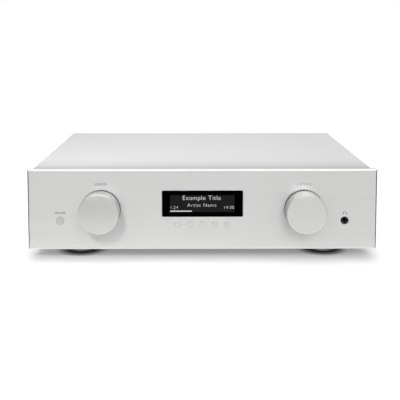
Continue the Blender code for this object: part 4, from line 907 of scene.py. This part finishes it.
lining = block(
    "lan_lining", (socket_x - lan_half, socket_floor, lan_z + LINING_RISE),
    (socket_x + lan_half, face - LINING_SINK, lan_top), SOFT,
)
tongue = block(
    "data_tongue", (socket_x - TONGUE_HALF, socket_floor, data_z - SNUG),
    (socket_x + TONGUE_HALF, face - TONGUE_SINK, data_z + TONGUE_RISE), EASY,
)
put(gather("socket_insulators", [lining, tongue]), black_plastic)
contacts = []
for count, pitch, half, back, front, foot, top, edge in (
    (8, 0.00102, 0.0002, 0.011, 0.002, lan_z + 0.0017, lan_z + 0.0023, 0.0001),
    (4, 0.0023, 0.0005, 0.012, 0.0024, data_z - 0.0002, data_z, 0.00005),
):
    for number in range(count):
        x = socket_x + (number - (count - 1) / 2) * pitch
        low, high = (x - half, face - back, foot), (x + half, face - front, top)
        contacts.append(block(f"contact_{count}_{number}", low, high, edge))
put(gather("socket_contacts", contacts), gold)
green_lens = finish(
    "green_lens", (0.05, 0.35, 0.08), 0.2, skin(0.001, tone=0.1, rough=0.05), slot="bright_steel"
)
lenses = []
for side in (-1, 1):
    at = (socket_x + side * LENS_ASIDE, lan_top + LENS_RISE)
    lenses.append(slab(f"link_lens_{side}", at, LENS_SIZE, EASY, face - LENS_SINK, face + LENS_PROUD))
put(gather("link_lenses", lenses), green_lens)

# Cover
# One sheet folded down over both sides and painted satin silver. Round-ended vent slots are punched
# beside the heatsinks, and screws through its lower edges hold it to the tray.
SHEET = 0.002
TRAY_SHEET = 0.0015
BEND = 0.0021
BEND_STEPS = 8
VENT_COUNT = 12
VENT_PITCH = 0.012
VENT = (0.003, 0.036)
VENT_CORNER = VENT[0] / 2 - 0.00001
JOINT_REACH = 0.10                       # how far the painted shade at the panel's joint reaches back
JOINT_PATCH = (0.02, 0.004, 0.004)
JOINT_SWING = 0.2                        # of the painted shade from patch to patch
COVER_SCREW_RADIUS = 0.003
COVER_SCREW_RISE = 0.0055
COVER_SCREW_SHARES = (0.08, 0.5, 0.92)   # of the cover's depth
TO_RIGHT = (0, math.pi / 2, 0)
TO_LEFT = (0, -math.pi / 2, 0)
cover_low, cover_high, _, cover_size = measured("top_cover")


def painted_shade_at_joint_pattern(tree, reach):
    """Painted shade: dark at the joint with the panel, and clear beyond its reach."""
    behind = sums(tree, "SUBTRACT", split_xyz(tree, piece_coordinates(tree))[1], cover_low.y)
    away = sums(tree, "MINIMUM", sums(tree, "MAXIMUM", sums(tree, "DIVIDE", behind, reach), 0.0), 1.0)
    near = sums(tree, "SUBTRACT", 1.0, sums(tree, "SQRT", away))
    patches = noise(tree, in_units(tree, *JOINT_PATCH), 2.0)
    swing = sums(tree, "MULTIPLY_ADD", patches, JOINT_SWING, 1 - JOINT_SWING / 2)
    return sums(tree, "SUBTRACT", EVEN, sums(tree, "MULTIPLY", near, sums(tree, "MULTIPLY", near, swing)))


left, right, top, foot = cover_low.x, cover_high.x, cover_high.z, cover_low.z
fold = eased([
    (left, foot), (left, top, BEND), (right, top, BEND), (right, foot),
    (right - SHEET, foot), (right - SHEET, top - SHEET, BEND - SHEET),
    (left + SHEET, top - SHEET, BEND - SHEET), (left + SHEET, foot),
], steps=BEND_STEPS)
cover = prism("folded_cover", fold, cover_low.y, cover_high.y)
vent_y = measured("heatsink_left")[2].y
vent_z = (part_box("chassis_tray")[0].z + TRAY_SHEET + top - SHEET) / 2
slots = []
for number in range(VENT_COUNT):
    y = vent_y + (number - (VENT_COUNT - 1) / 2) * VENT_PITCH
    outline = rectangle((y, vent_z), VENT, VENT_CORNER, steps=6)
    slots += [prism("vent_slot", outline, x - THROUGH, x + THROUGH, "X") for x in (left, right)]
carve(cover, gather("vent_slots", slots))
# Painted shade: the cover's paint darkens towards its joint with the panel.
painted_shade_at_joint = surface_effect("painted_shade_at_joint", ["Reach"], painted_shade_at_joint_pattern)
cover_paint = finish(
    "satin_silver_cover", PAINT_COLOUR, PAINT_ROUGHNESS, *paint_skin,
    painted_shade_at_joint(JOINT_REACH, tone=0.64, rough=0.0), slot="cover_silver", specular=PAINT_SPECULAR,
)
put(cover, cover_paint, "top_cover")
for hand, x, turn in (("left", left, TO_LEFT), ("right", right, TO_RIGHT)):
    ys = [cover_low.y + share * cover_size[1] for share in COVER_SCREW_SHARES]
    places = [(x, y, foot + COVER_SCREW_RISE) for y in ys]
    screws(f"cover_screws_{hand}", places, turn, COVER_SCREW_RADIUS)

# Front panel
# A thick aluminium plate, brushed along its length and clear anodised. Its front edges are milled to
# a broad chamfer, and the openings have a narrow bright lead-in.
PANEL_COLOUR = (0.642, 0.642, 0.637)
PANEL_ROUGHNESS = 0.38
PANEL_METALLIC = 0.55
PANEL_CHAMFER = 0.0016
LEAD_IN = 0.00015
KEY_LEAD_IN = 0.00005
WINDOW_LEAD_IN = 0.0003
WINDOW_CORNER = 0.0013
WINDOW_LAND = 0.0035
WINDOW_LIP = 0.003
BUSH_OPENING = 0.00625
JACK_NOSE = 0.00465
KEY_HOLE = 0.0003                        # hole's radius over the solid key's
KEY_FLANGE = 0.0012
KEY_POCKET = 0.003
KEYS = ["power_key"] + [f"menu_key_{number}" for number in range(1, 6)]
SLOPE = (0.3, 0.95)                      # how far a bevel's normal leans to the front
panel_low, panel_high, _, panel_size = measured("front_panel")
front_y, back_y, thickness = panel_low.y, panel_high.y, panel_size[1]
window_low, window_high, window_middle, window_size = measured("display_window")
jack_low, jack_high, jack_middle, _ = measured("headphone_jack")


def brushed_pattern(tree, length, width):
    """Straight grain along X, in long fine lines."""
    return noise(tree, in_units(tree, length, width, width), 4.0)


def window_outline(grown):
    """The window's outline, grown by a margin all round."""
    size = [side - 2 * WINDOW_LIP + 2 * grown for side in window_size]
    return rectangle(window_middle, size, WINDOW_CORNER + grown)


def at_front(start, end):
    """True for the edges round a box's front face."""
    return start.y < 0 and end.y < 0


def hole_cutter(place, radius, lead_in, pocket=None):
    """A round hole through the panel with a lead-in at its face, and a pocket from the back."""
    back = -(thickness + THROUGH)
    corners = [(0, THROUGH), (radius + lead_in + THROUGH, THROUGH), (radius, -lead_in)]
    if pocket:
        corners += [(radius, KEY_POCKET - thickness), (pocket, KEY_POCKET - thickness)]
    corners += [(pocket or radius, back), (0, back)]
    return turned("panel_hole", corners, (place.x, front_y, place.z), TO_FRONT, 64)


brushing = surface_effect("long_brushing", ["Length", "Width"], brushed_pattern)
brushed = finish(
    "brushed_panel", PANEL_COLOUR, PANEL_ROUGHNESS,
    brushing(0.09, 0.0004, tone=0.06, rough=0.12, depth=4e-6),
    brushing(0.12, 0.0018, tone=0.08, rough=0.05),
    slot="panel_silver", metallic=PANEL_METALLIC,
)
milled = finish(
    "milled_chamfer", (0.72, 0.72, 0.715), 0.22,
    brushing(0.05, 0.0003, tone=0.06, rough=0.1, depth=2e-6), metallic=1.0,
)
panel = block("brushed_front_panel", panel_low, panel_high, PANEL_CHAMFER, 1, at_front)
lead = window_outline(FIT + WINDOW_LEAD_IN + THROUGH)
cutters = [
    prism("window_opening", window_outline(FIT), front_y - THROUGH, back_y + THROUGH),
    prism("window_lead_in", lead, front_y - THROUGH, front_y + WINDOW_LEAD_IN, "Y", window_outline(FIT)),
    block(
        "window_pocket",
        (window_low.x - FIT, front_y + WINDOW_LAND, window_low.z - FIT),
        (window_high.x + FIT, back_y + THROUGH, window_high.z + FIT),
    ),
]
for knob in ("input_knob", "volume_knob"):
    cutters.append(hole_cutter(measured(knob)[2], BUSH_OPENING, LEAD_IN))
key_radius = {}
for key in KEYS:
    _, _, middle, size = measured(key)
    key_radius[key] = size[0] / 2 - KEY_FLANGE
    hole = key_radius[key] + KEY_HOLE
    cutters.append(hole_cutter(middle, hole, KEY_LEAD_IN, hole + KEY_FLANGE + FIT))
cutters.append(hole_cutter(jack_middle, JACK_NOSE + FIT, LEAD_IN))
put(carve(panel, *cutters), brushed, "front_panel")
panel.data.materials.append(milled)
for polygon in panel.data.polygons:
    polygon.material_index = 1 if SLOPE[0] < -polygon.normal.y < SLOPE[1] else 0

# Display window
# A smoked black window, polished and set flush in the panel on a lip. A display on it shows two lines
# of letters, two times and a progress bar in soft white.
WINDOW_RECESS = 0.0002
SMOKED_BLACK = (0.0005, 0.0005, 0.0005)
DOT_LAYER = 0.00002
LIT_SIZE = (0.0792, 0.0212)
LIT_SHIFT = (-0.0003, 0.0003)            # lit area's middle from the window's
LIT_GLOW = 0.0135
LETTER_GLOW = 1.0
LETTER_STROKE = -0.00015
WORDS_SHIFT = -0.0005                    # words' middle from the lit area's
BAR = (0.0267, 0.0015)
BAR_RISE = 0.0005
BAR_GLOW = 0.60
WHITE = (1, 1, 1, 1)
display_y = front_y + WINDOW_RECESS
lip_y = front_y + WINDOW_LAND + FIT


def smoked(name):
    """Polished black with hardly any shine."""
    patches = skin(0.02, tone=0.2, rough=0.04)
    return finish(name, SMOKED_BLACK, 0.06, patches, slot="window_black", specular=0.005)


def glowing(name, strength):
    """A display layer: black, with a light of its own that varies a little from place to place."""
    material = smoked(name)
    tree = material.node_tree
    shader = tree.nodes["Principled BSDF"].inputs
    group, settings = skin(0.004, tone=0.06, rough=0.0)
    light = made_node(tree, "Group", {"Colour": WHITE, **settings}, node_tree=group)
    feed(tree, shader["Emission Color"], light["Colour"])
    feed(tree, shader["Emission Strength"], strength)
    return material


window = prism("smoked_window", window_outline(0), display_y, lip_y + FIT)
carve(window, block("window_lip", (window_low.x, lip_y, window_low.z), window_high), how="UNION")
put(window, smoked("smoked_window"), "display_window")
lit_middle = (window_middle.x + LIT_SHIFT[0], window_middle.z + LIT_SHIFT[1])
lit = slab("lit_display_area", lit_middle, LIT_SIZE, SOFT, display_y - DOT_LAYER, display_y + DOT_LAYER)
put(lit, glowing("lit_display_area", LIT_GLOW))
left, right = lit_middle[0] - LIT_SIZE[0] / 2, lit_middle[0] + LIT_SIZE[0] / 2
foot = lit_middle[1] - LIT_SIZE[1] / 2
words_x = lit_middle[0] + WORDS_SHIFT
letters_y = display_y - DOT_LAYER - PRINT_THICKNESS / 4
letters = []
for text, cap, x, rise, tracking in (
    ("Example Title", 0.0058, words_x, 0.0181, 1.08),
    ("Artist Name", 0.0046, words_x, 0.0090, 1.14),
    ("1:24", 0.0040, left + 0.0052, 0.0061, 1.12),
    ("14:08", 0.0040, right - 0.0064, 0.0061, 1.12),
):
    at = (x, letters_y, foot + rise)
    letters.append(words("display_words", text, cap, at, TO_FRONT, LETTER_STROKE, tracking))
put(gather("display_letters", letters), glowing("lit_letters", LETTER_GLOW))
bar_middle = (left + BAR[0] / 2, foot + BAR_RISE + BAR[1] / 2)
bar = slab("progress_bar", bar_middle, BAR, CRISP, letters_y - DOT_LAYER, letters_y + DOT_LAYER)
put(bar, glowing("lit_bar", BAR_GLOW))

# Keys
# Flush round keys turned from the same aluminium as the panel, each with a flange behind the panel
# and a stem that pushes its switch. A hairline gap shows round them.
KEY_FIT = 0.00027
KEY_PROUD = 0.0003
KEY_DISH = 0.0001
KEY_RIM = 0.001
KEY_FLANGE_THICKNESS = 0.001
KEY_STEM = 0.0015
key_finishes = {}
# The power key's darker grey is painted shade, standing in for the shade in its dished face.
for kind, colour in (("menu", PANEL_COLOUR), ("power", (0.525, 0.525, 0.52))):
    key_finishes[kind] = finish(
        f"turned_{kind}_key", colour, PANEL_ROUGHNESS,
        turning(0.0003, tone=0.06, rough=0.1, depth=3e-6), skin(0.002, tone=0.03, rough=0.06),
        slot="knob_silver", metallic=PANEL_METALLIC,
    )
flange_top = KEY_POCKET - thickness - FIT
flange_foot = flange_top - KEY_FLANGE_THICKNESS
for key in KEYS:
    _, high, middle, _ = measured(key)
    cap, flange = key_radius[key] + KEY_HOLE - KEY_FIT, key_radius[key] + KEY_FLANGE
    tip = front_y - high.y
    corners = [
        (0, KEY_PROUD - KEY_DISH), (cap - KEY_RIM, KEY_PROUD), (cap, KEY_PROUD, CRISP),
        (cap, flange_top), (flange, flange_top, CRISP), (flange, flange_foot, CRISP),
        (KEY_STEM, flange_foot), (KEY_STEM, tip, EASY), (0, tip),
    ]
    button = turned(f"turned_{key}", corners, (middle.x, front_y, middle.z), TO_FRONT, 56)
    put(button, key_finishes[key.split("_")[0]], key, body=key)

# Headphone jack
# A black moulded socket fixed behind the subpanel, with its nose in the panel. A sprung metal contact
# shows inside the bore.
JACK_BORE = 0.00325
JACK_RECESS = 0.0003
JACK_END_WALL = 0.0015
JACK_FACE = 0.0009
JACK_BODY_EDGE = 0.0008
CONTACT_ENDS = (-0.006, -0.009)          # behind the panel's face
CONTACT_STEP = 0.0004                    # inside the bore, at its ends
CONTACT_BULGE = 0.0006                   # and half way along
body_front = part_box("subpanel")[1].y + FIT
jack_axis = (jack_middle.x, front_y, jack_middle.z)
jack_body = block("jack_body", (jack_low.x, body_front, jack_low.z), jack_high, JACK_BODY_EDGE)
bore_end = -(jack_high.y - JACK_END_WALL - front_y)
bore = [(0, 0), (JACK_BORE, 0), (JACK_BORE, bore_end), (0, bore_end)]
carve(jack_body, turned("jack_bore", bore, jack_axis, TO_FRONT, 40))
nose_back = -(body_front + FIT - front_y)
nose = [
    (JACK_NOSE, -JACK_RECESS, ROUND), (JACK_NOSE, nose_back), (JACK_BORE, nose_back),
    (JACK_BORE, -JACK_RECESS - JACK_FACE, SOFT), (JACK_BORE + JACK_FACE, -JACK_RECESS, SOFT),
]
jack_nose = turned("jack_nose", nose, jack_axis, TO_FRONT, 56, True)
put(gather("moulded_jack", [jack_body, jack_nose]), black_plastic, "headphone_jack")
start, end = CONTACT_ENDS
outer, inner, bulge = JACK_BORE - SNUG, JACK_BORE - CONTACT_STEP, JACK_BORE - CONTACT_BULGE
contact = [(outer, start, SOFT), (outer, end), (inner, end), (bulge, (start + end) / 2, FULL), (inner, start)]
put(turned("jack_contact", contact, jack_axis, TO_FRONT, 40, True), tinned)

# Knobs
# Two large plain knobs turned from solid aluminium and clear anodised. The side is given a darker grey than
# the face as painted shade. The front edge has a bright diamond-cut chamfer, and a black ring at the base
# is painted shade, a dark ring where the gap between the skirt and the panel lies in shadow.
KNOB_EDGE = 0.0007
KNOB_BORE = 0.0033
KNOB_BORE_DEPTH = 0.016
PAINTED_SHADE_RING = 0.0030                       # its length
PAINTED_SHADE_RING_PROUD = 0.0002
PAINTED_SHADE_RING_BORE = 0.0073
knob_face = finish(
    "turned_knob", (0.74, 0.74, 0.73), 0.33,
    turning(0.0005, tone=0.03, rough=0.08, depth=1e-6), turning(0.004, tone=0.012, rough=0.02),
    slot="knob_silver", metallic=0.9,
)
cut_bright = finish(
    "diamond_cut_edge", (0.62, 0.62, 0.62), 0.28, turning(0.0002, tone=0.04, rough=0.08, depth=2e-6),
    metallic=1.0,
)
# Painted shade: a darker copy of the knob's aluminium, for its side.
painted_shade_knob_side = finish(
    "turned_knob_side", (0.50, 0.50, 0.495), 0.36, turning(0.0004, tone=0.05, rough=0.08, depth=1e-6),
    metallic=0.9,
)
for name in ("input", "volume"):
    _, high, middle, size = measured(f"{name}_knob")
    axis = (middle.x, high.y, middle.z)
    radius, length = size[0] / 2, size[1]
    corners = [
        (0, length), (radius - KNOB_EDGE, length, CRISP), (radius, length - KNOB_EDGE, CRISP),
        (radius, PAINTED_SHADE_RING, CRISP), (KNOB_BORE, PAINTED_SHADE_RING),
        (KNOB_BORE, KNOB_BORE_DEPTH), (0, KNOB_BORE_DEPTH),
    ]
    knob = turned(f"turned_{name}_knob", corners, axis, TO_FRONT, 128)
    put(knob, knob_face, f"{name}_knob", body=f"{name}_control")
    # Painted shade: a black ring where the gap at the knob's base lies in shadow.
    rim, bore = radius + PAINTED_SHADE_RING_PROUD, PAINTED_SHADE_RING_BORE
    corners = [(rim, PAINTED_SHADE_RING, CRISP), (rim, 0, SOFT), (bore, 0), (bore, PAINTED_SHADE_RING)]
    ring = turned(f"{name}_painted_shade_ring", corners, axis, TO_FRONT, 96, True)
    put(ring, rubber, body=f"{name}_control")
    knob.data.materials.append(cut_bright)
    knob.data.materials.append(painted_shade_knob_side)
    for polygon in knob.data.polygons:
        if polygon.center.z > length - 2 * KNOB_EDGE and SLOPE[0] < polygon.normal.z < SLOPE[1]:
            polygon.material_index = 1
        elif abs(polygon.normal.z) <= SLOPE[0]:
            polygon.material_index = 2

# Printed words on the panel
# Fine dark grey capitals are screen-printed above the controls, and a small headphone sign above the
# jack. The rest of the panel is bare.
LABEL_CAP = 0.0027
LABEL_STROKE = 0.00003
LABEL_RISE = 0.0074                      # above a knob's rim
CONTROL_RISE = 0.0100                    # above the middle of a small control
SIGN_DROP = 0.0006                       # the sign's middle below that
BAND_RADIUS = 0.0022
BAND_WIDTH = 0.0005
BAND_STEPS = 12
CUP = (0.0011, 0.0018)
CUP_INSET = 0.0003
CUP_DROP = 0.0007
label_y = front_y - PRINT_THICKNESS / 4
label_depths = (label_y - PRINT_THICKNESS / 2, label_y + PRINT_THICKNESS / 2)
power_middle = measured("power_key")[2]
above_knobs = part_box("input_knob")[1].z + LABEL_RISE
labels = []
for text, x, z, tracking in (
    ("SOURCE", measured("input_knob")[2].x, above_knobs, 1.0),
    ("LEVEL", measured("volume_knob")[2].x, above_knobs, 2.1),
    ("ON/OFF", power_middle.x, power_middle.z + CONTROL_RISE, 1.0),
):
    at = (x, label_y, z)
    labels.append(words("panel_words", text, LABEL_CAP, at, TO_FRONT, LABEL_STROKE, tracking))
sign_x, sign_z = jack_middle.x, jack_middle.z + CONTROL_RISE - SIGN_DROP
angles = [math.pi * step / BAND_STEPS for step in range(BAND_STEPS + 1)]
arcs = [(BAND_RADIUS, angle) for angle in angles]
arcs += [(BAND_RADIUS - BAND_WIDTH, angle) for angle in reversed(angles)]
band = [(sign_x + radius * math.cos(angle), sign_z + radius * math.sin(angle)) for radius, angle in arcs]
labels.append(prism("head_band", band, *label_depths))
for side in (-1, 1):
    cup_middle = (sign_x + side * (BAND_RADIUS - CUP_INSET), sign_z - CUP_DROP)
    labels.append(slab(f"ear_cup_{side}", cup_middle, CUP, ROUND, *label_depths))
put(gather("panel_print", labels), print_grey)

# Floor and light
# A white table and a white surround. Under the case and round its feet the table's own light and colour
# are lowered as a painted shadow, over the shadow the lamps cast, and in reflections it shows painted light,
# brightest in a band under the panel's lower edge. A small lamp at the upper left and soft boxes at the
# right and in front light the panel, and grey cards lie where only the metal reflects them.
FLOOR_SIZE = 40.0
FLOOR_COLOUR = (0.60, 0.60, 0.60)
SEEN_GLOW = (0.205, 0.61)                # the table's own light to the camera: low under the amplifier as a painted shadow, full clear of it
REFLECTED_GLOW = 0.29                    # the table's own light as the metal reflects it, a painted reflection
PAINTED_EDGE_REFLECTION = 0.68                         # painted reflection in a band under the panel's lower edge, seen only by the metal
EDGE_BAND = (-0.11, -0.02, 0.014, 0.028)
GLOW_START = (0.014, 0.022)              # inside the case's sides and its front
GLOW_REACH = (0.036, 0.080, 1.0)
PAINTED_FOOT_SHADOW = 0.15                     # painted shadow: what is left of the table's colour and light close to a foot
CONTACT_REACH = (0.019, 0.036)
CONTACT_LEAD = 0.003                     # how far the shade lies in front of a front foot
WORLD_LIGHT = 0.69


def ramp(tree, value, start, stop, low=0.0, high=1.0):
    """A value that goes smoothly from low to high between two places."""
    values = {"Value": value, "From Min": start, "From Max": stop, "To Min": low, "To Max": high}
    return made_node(tree, "MapRange", values, interpolation_type="SMOOTHSTEP")[0]


def matt(name, colour, patches):
    """Paper or paint without any shine."""
    return finish(name, colour, 0.9, patches, specular=0.0)


floor_white = matt("white_table", FLOOR_COLOUR, skin(0.01, tone=0.01, rough=0.05))
floor_mesh = bpy.data.meshes.new("table_top")
bm = bmesh.new()
bmesh.ops.create_grid(bm, x_segments=1, y_segments=1, size=FLOOR_SIZE / 2)
bm.to_mesh(floor_mesh)
bm.free()
floor = placed("table_top", floor_mesh, (0, 0, cad_low.z))
floor.data.materials.append(floor_white)
case_middle = (0, (front_y + cover_high.y) / 2, 0)
case_half = (panel_high.x - GLOW_START[0], (cover_high.y - front_y) / 2 - GLOW_START[1], 0)
foot_middle = measured("foot_rear_right")[2]
foot_half = (foot_middle.x, foot_middle.y - case_middle[1] + CONTACT_LEAD, 0)
tree = floor_white.node_tree
shader = tree.nodes["Principled BSDF"].inputs
path = made_node(tree, "LightPath")
point = piece_coordinates(tree)
aside = vector_sums(tree, "ABSOLUTE", vector_sums(tree, "SUBTRACT", point, case_middle))
clear = vector_sums(tree, "MAXIMUM", vector_sums(tree, "SUBTRACT", aside, case_half), (0, 0, 0))
away = vector_sums(tree, "LENGTH", vector_sums(tree, "DIVIDE", clear, GLOW_REACH))
# Painted shadow: the table's own light fades in from low under the case to full clear of it.
clear_of_painted_shadow = ramp(tree, away, 0.0, 1.0)
behind = split_xyz(tree, vector_sums(tree, "SUBTRACT", point, (0, front_y, 0)))[1]
# Painted reflection: the table glows for reflections only, brightest in a band under the panel's lower edge.
band_start = ramp(tree, behind, *EDGE_BAND[:2])
band = sums(tree, "MULTIPLY", band_start, ramp(tree, behind, *EDGE_BAND[2:], PAINTED_EDGE_REFLECTION, 0.0))
# Painted shadow round each foot, on the table's colour and on its own light.
from_foot = vector_sums(tree, "LENGTH", vector_sums(tree, "SUBTRACT", aside, foot_half))
shade = ramp(tree, from_foot, *CONTACT_REACH, PAINTED_FOOT_SHADOW, 1.0)
own_light = sums(tree, "MULTIPLY_ADD", clear_of_painted_shadow, SEEN_GLOW[1] - SEEN_GLOW[0], SEEN_GLOW[0])
seen = sums(tree, "MULTIPLY", path["Is Camera Ray"], sums(tree, "MULTIPLY", own_light, shade))
painted_reflection = sums(tree, "MAXIMUM", sums(tree, "MULTIPLY", clear_of_painted_shadow, REFLECTED_GLOW), band)
feed(tree, shader["Emission Color"], WHITE)
feed(tree, shader["Emission Strength"], sums(tree, "MULTIPLY_ADD", path["Is Glossy Ray"], painted_reflection, seen))
plain_white = shader["Base Color"].links[0].from_socket
painted_shadow_colour = vector_sums(tree, "MULTIPLY", plain_white, join_xyz(tree, shade, shade, shade))
feed(tree, shader["Base Color"], painted_shadow_colour)

surround = bpy.data.worlds.new("white_surround")
surround.use_nodes = True
scene.world = surround
tree = surround.node_tree
path = made_node(tree, "LightPath")
shiny = sums(tree, "MAXIMUM", path["Is Glossy Ray"], path["Is Transmission Ray"])
direct = sums(tree, "MAXIMUM", path["Is Camera Ray"], shiny)
level = sums(tree, "MULTIPLY_ADD", direct, 1 - WORLD_LIGHT, WORLD_LIGHT)
feed(tree, tree.nodes["Background"].inputs["Color"], WHITE)
feed(tree, tree.nodes["Background"].inputs["Strength"], level)

# Each lamp has a place, an aim, a size, a power and a spread in degrees.
for name, place, aim, size, power, spread in (
    ("overhead_strip", (0, -0.47, 1.3), (0, -0.17, 0.11), (1.2, 0.15), 0.74, 180),
    ("key_lamp", (-0.417, -1.41, 0.90), (-0.18, -0.17, 0.12), (0.07, 0.07), 0.255, 26),
    ("right_box", (0.35, -1.3, 0.70), (0.26, -0.17, 0.15), (0.5, 0.5), 0.62, 44),
    ("front_box", (0.0, -1.5, 0.25), (0, -0.17, 0.06), (1.6, 0.3), 0.7, 180),
    ("rear_box", (0.30, 1.5, 0.06), (0, 0.17, 0.06), (0.9, 0.08), 5, 180),
):
    lamp = bpy.data.lights.new(name, "AREA")
    lamp.shape = "RECTANGLE"
    lamp.size, lamp.size_y = size
    lamp.energy = power
    lamp.spread = math.radians(spread)
    facing = (Vector(aim) - Vector(place)).to_track_quat("-Z", "Y").to_euler()
    placed(name, lamp, place, facing).visible_camera = False

# Each card has a grey and two opposite corners.
for name, grey, low, high in (
    ("left_flag", 0.05, (-0.81, -0.16, 0.003), (-0.80, 0.35, 0.60)),
    ("right_flag", 0.05, (0.80, -0.16, 0.003), (0.81, 0.35, 0.60)),
    ("left_card", 0.10, (-0.79, -0.16, 0.002), (-0.218, 0.35, 0.003)),
    ("right_card", 0.10, (0.218, -0.16, 0.002), (0.79, 0.35, 0.003)),
    ("front_left_card", 0.22, (-0.90, -1.60, 0.002), (-0.06, -0.45, 0.003)),
    ("front_right_card", 0.27, (-0.06, -1.60, 0.002), (0.90, -0.54, 0.003)),
):
    card = block(name, low, high)
    card.data.materials.append(matt(name, (grey, grey, grey), skin(0.02, tone=0.02, rough=0.05)))
    card.visible_camera = False
    card.visible_diffuse = False
    card.visible_shadow = False
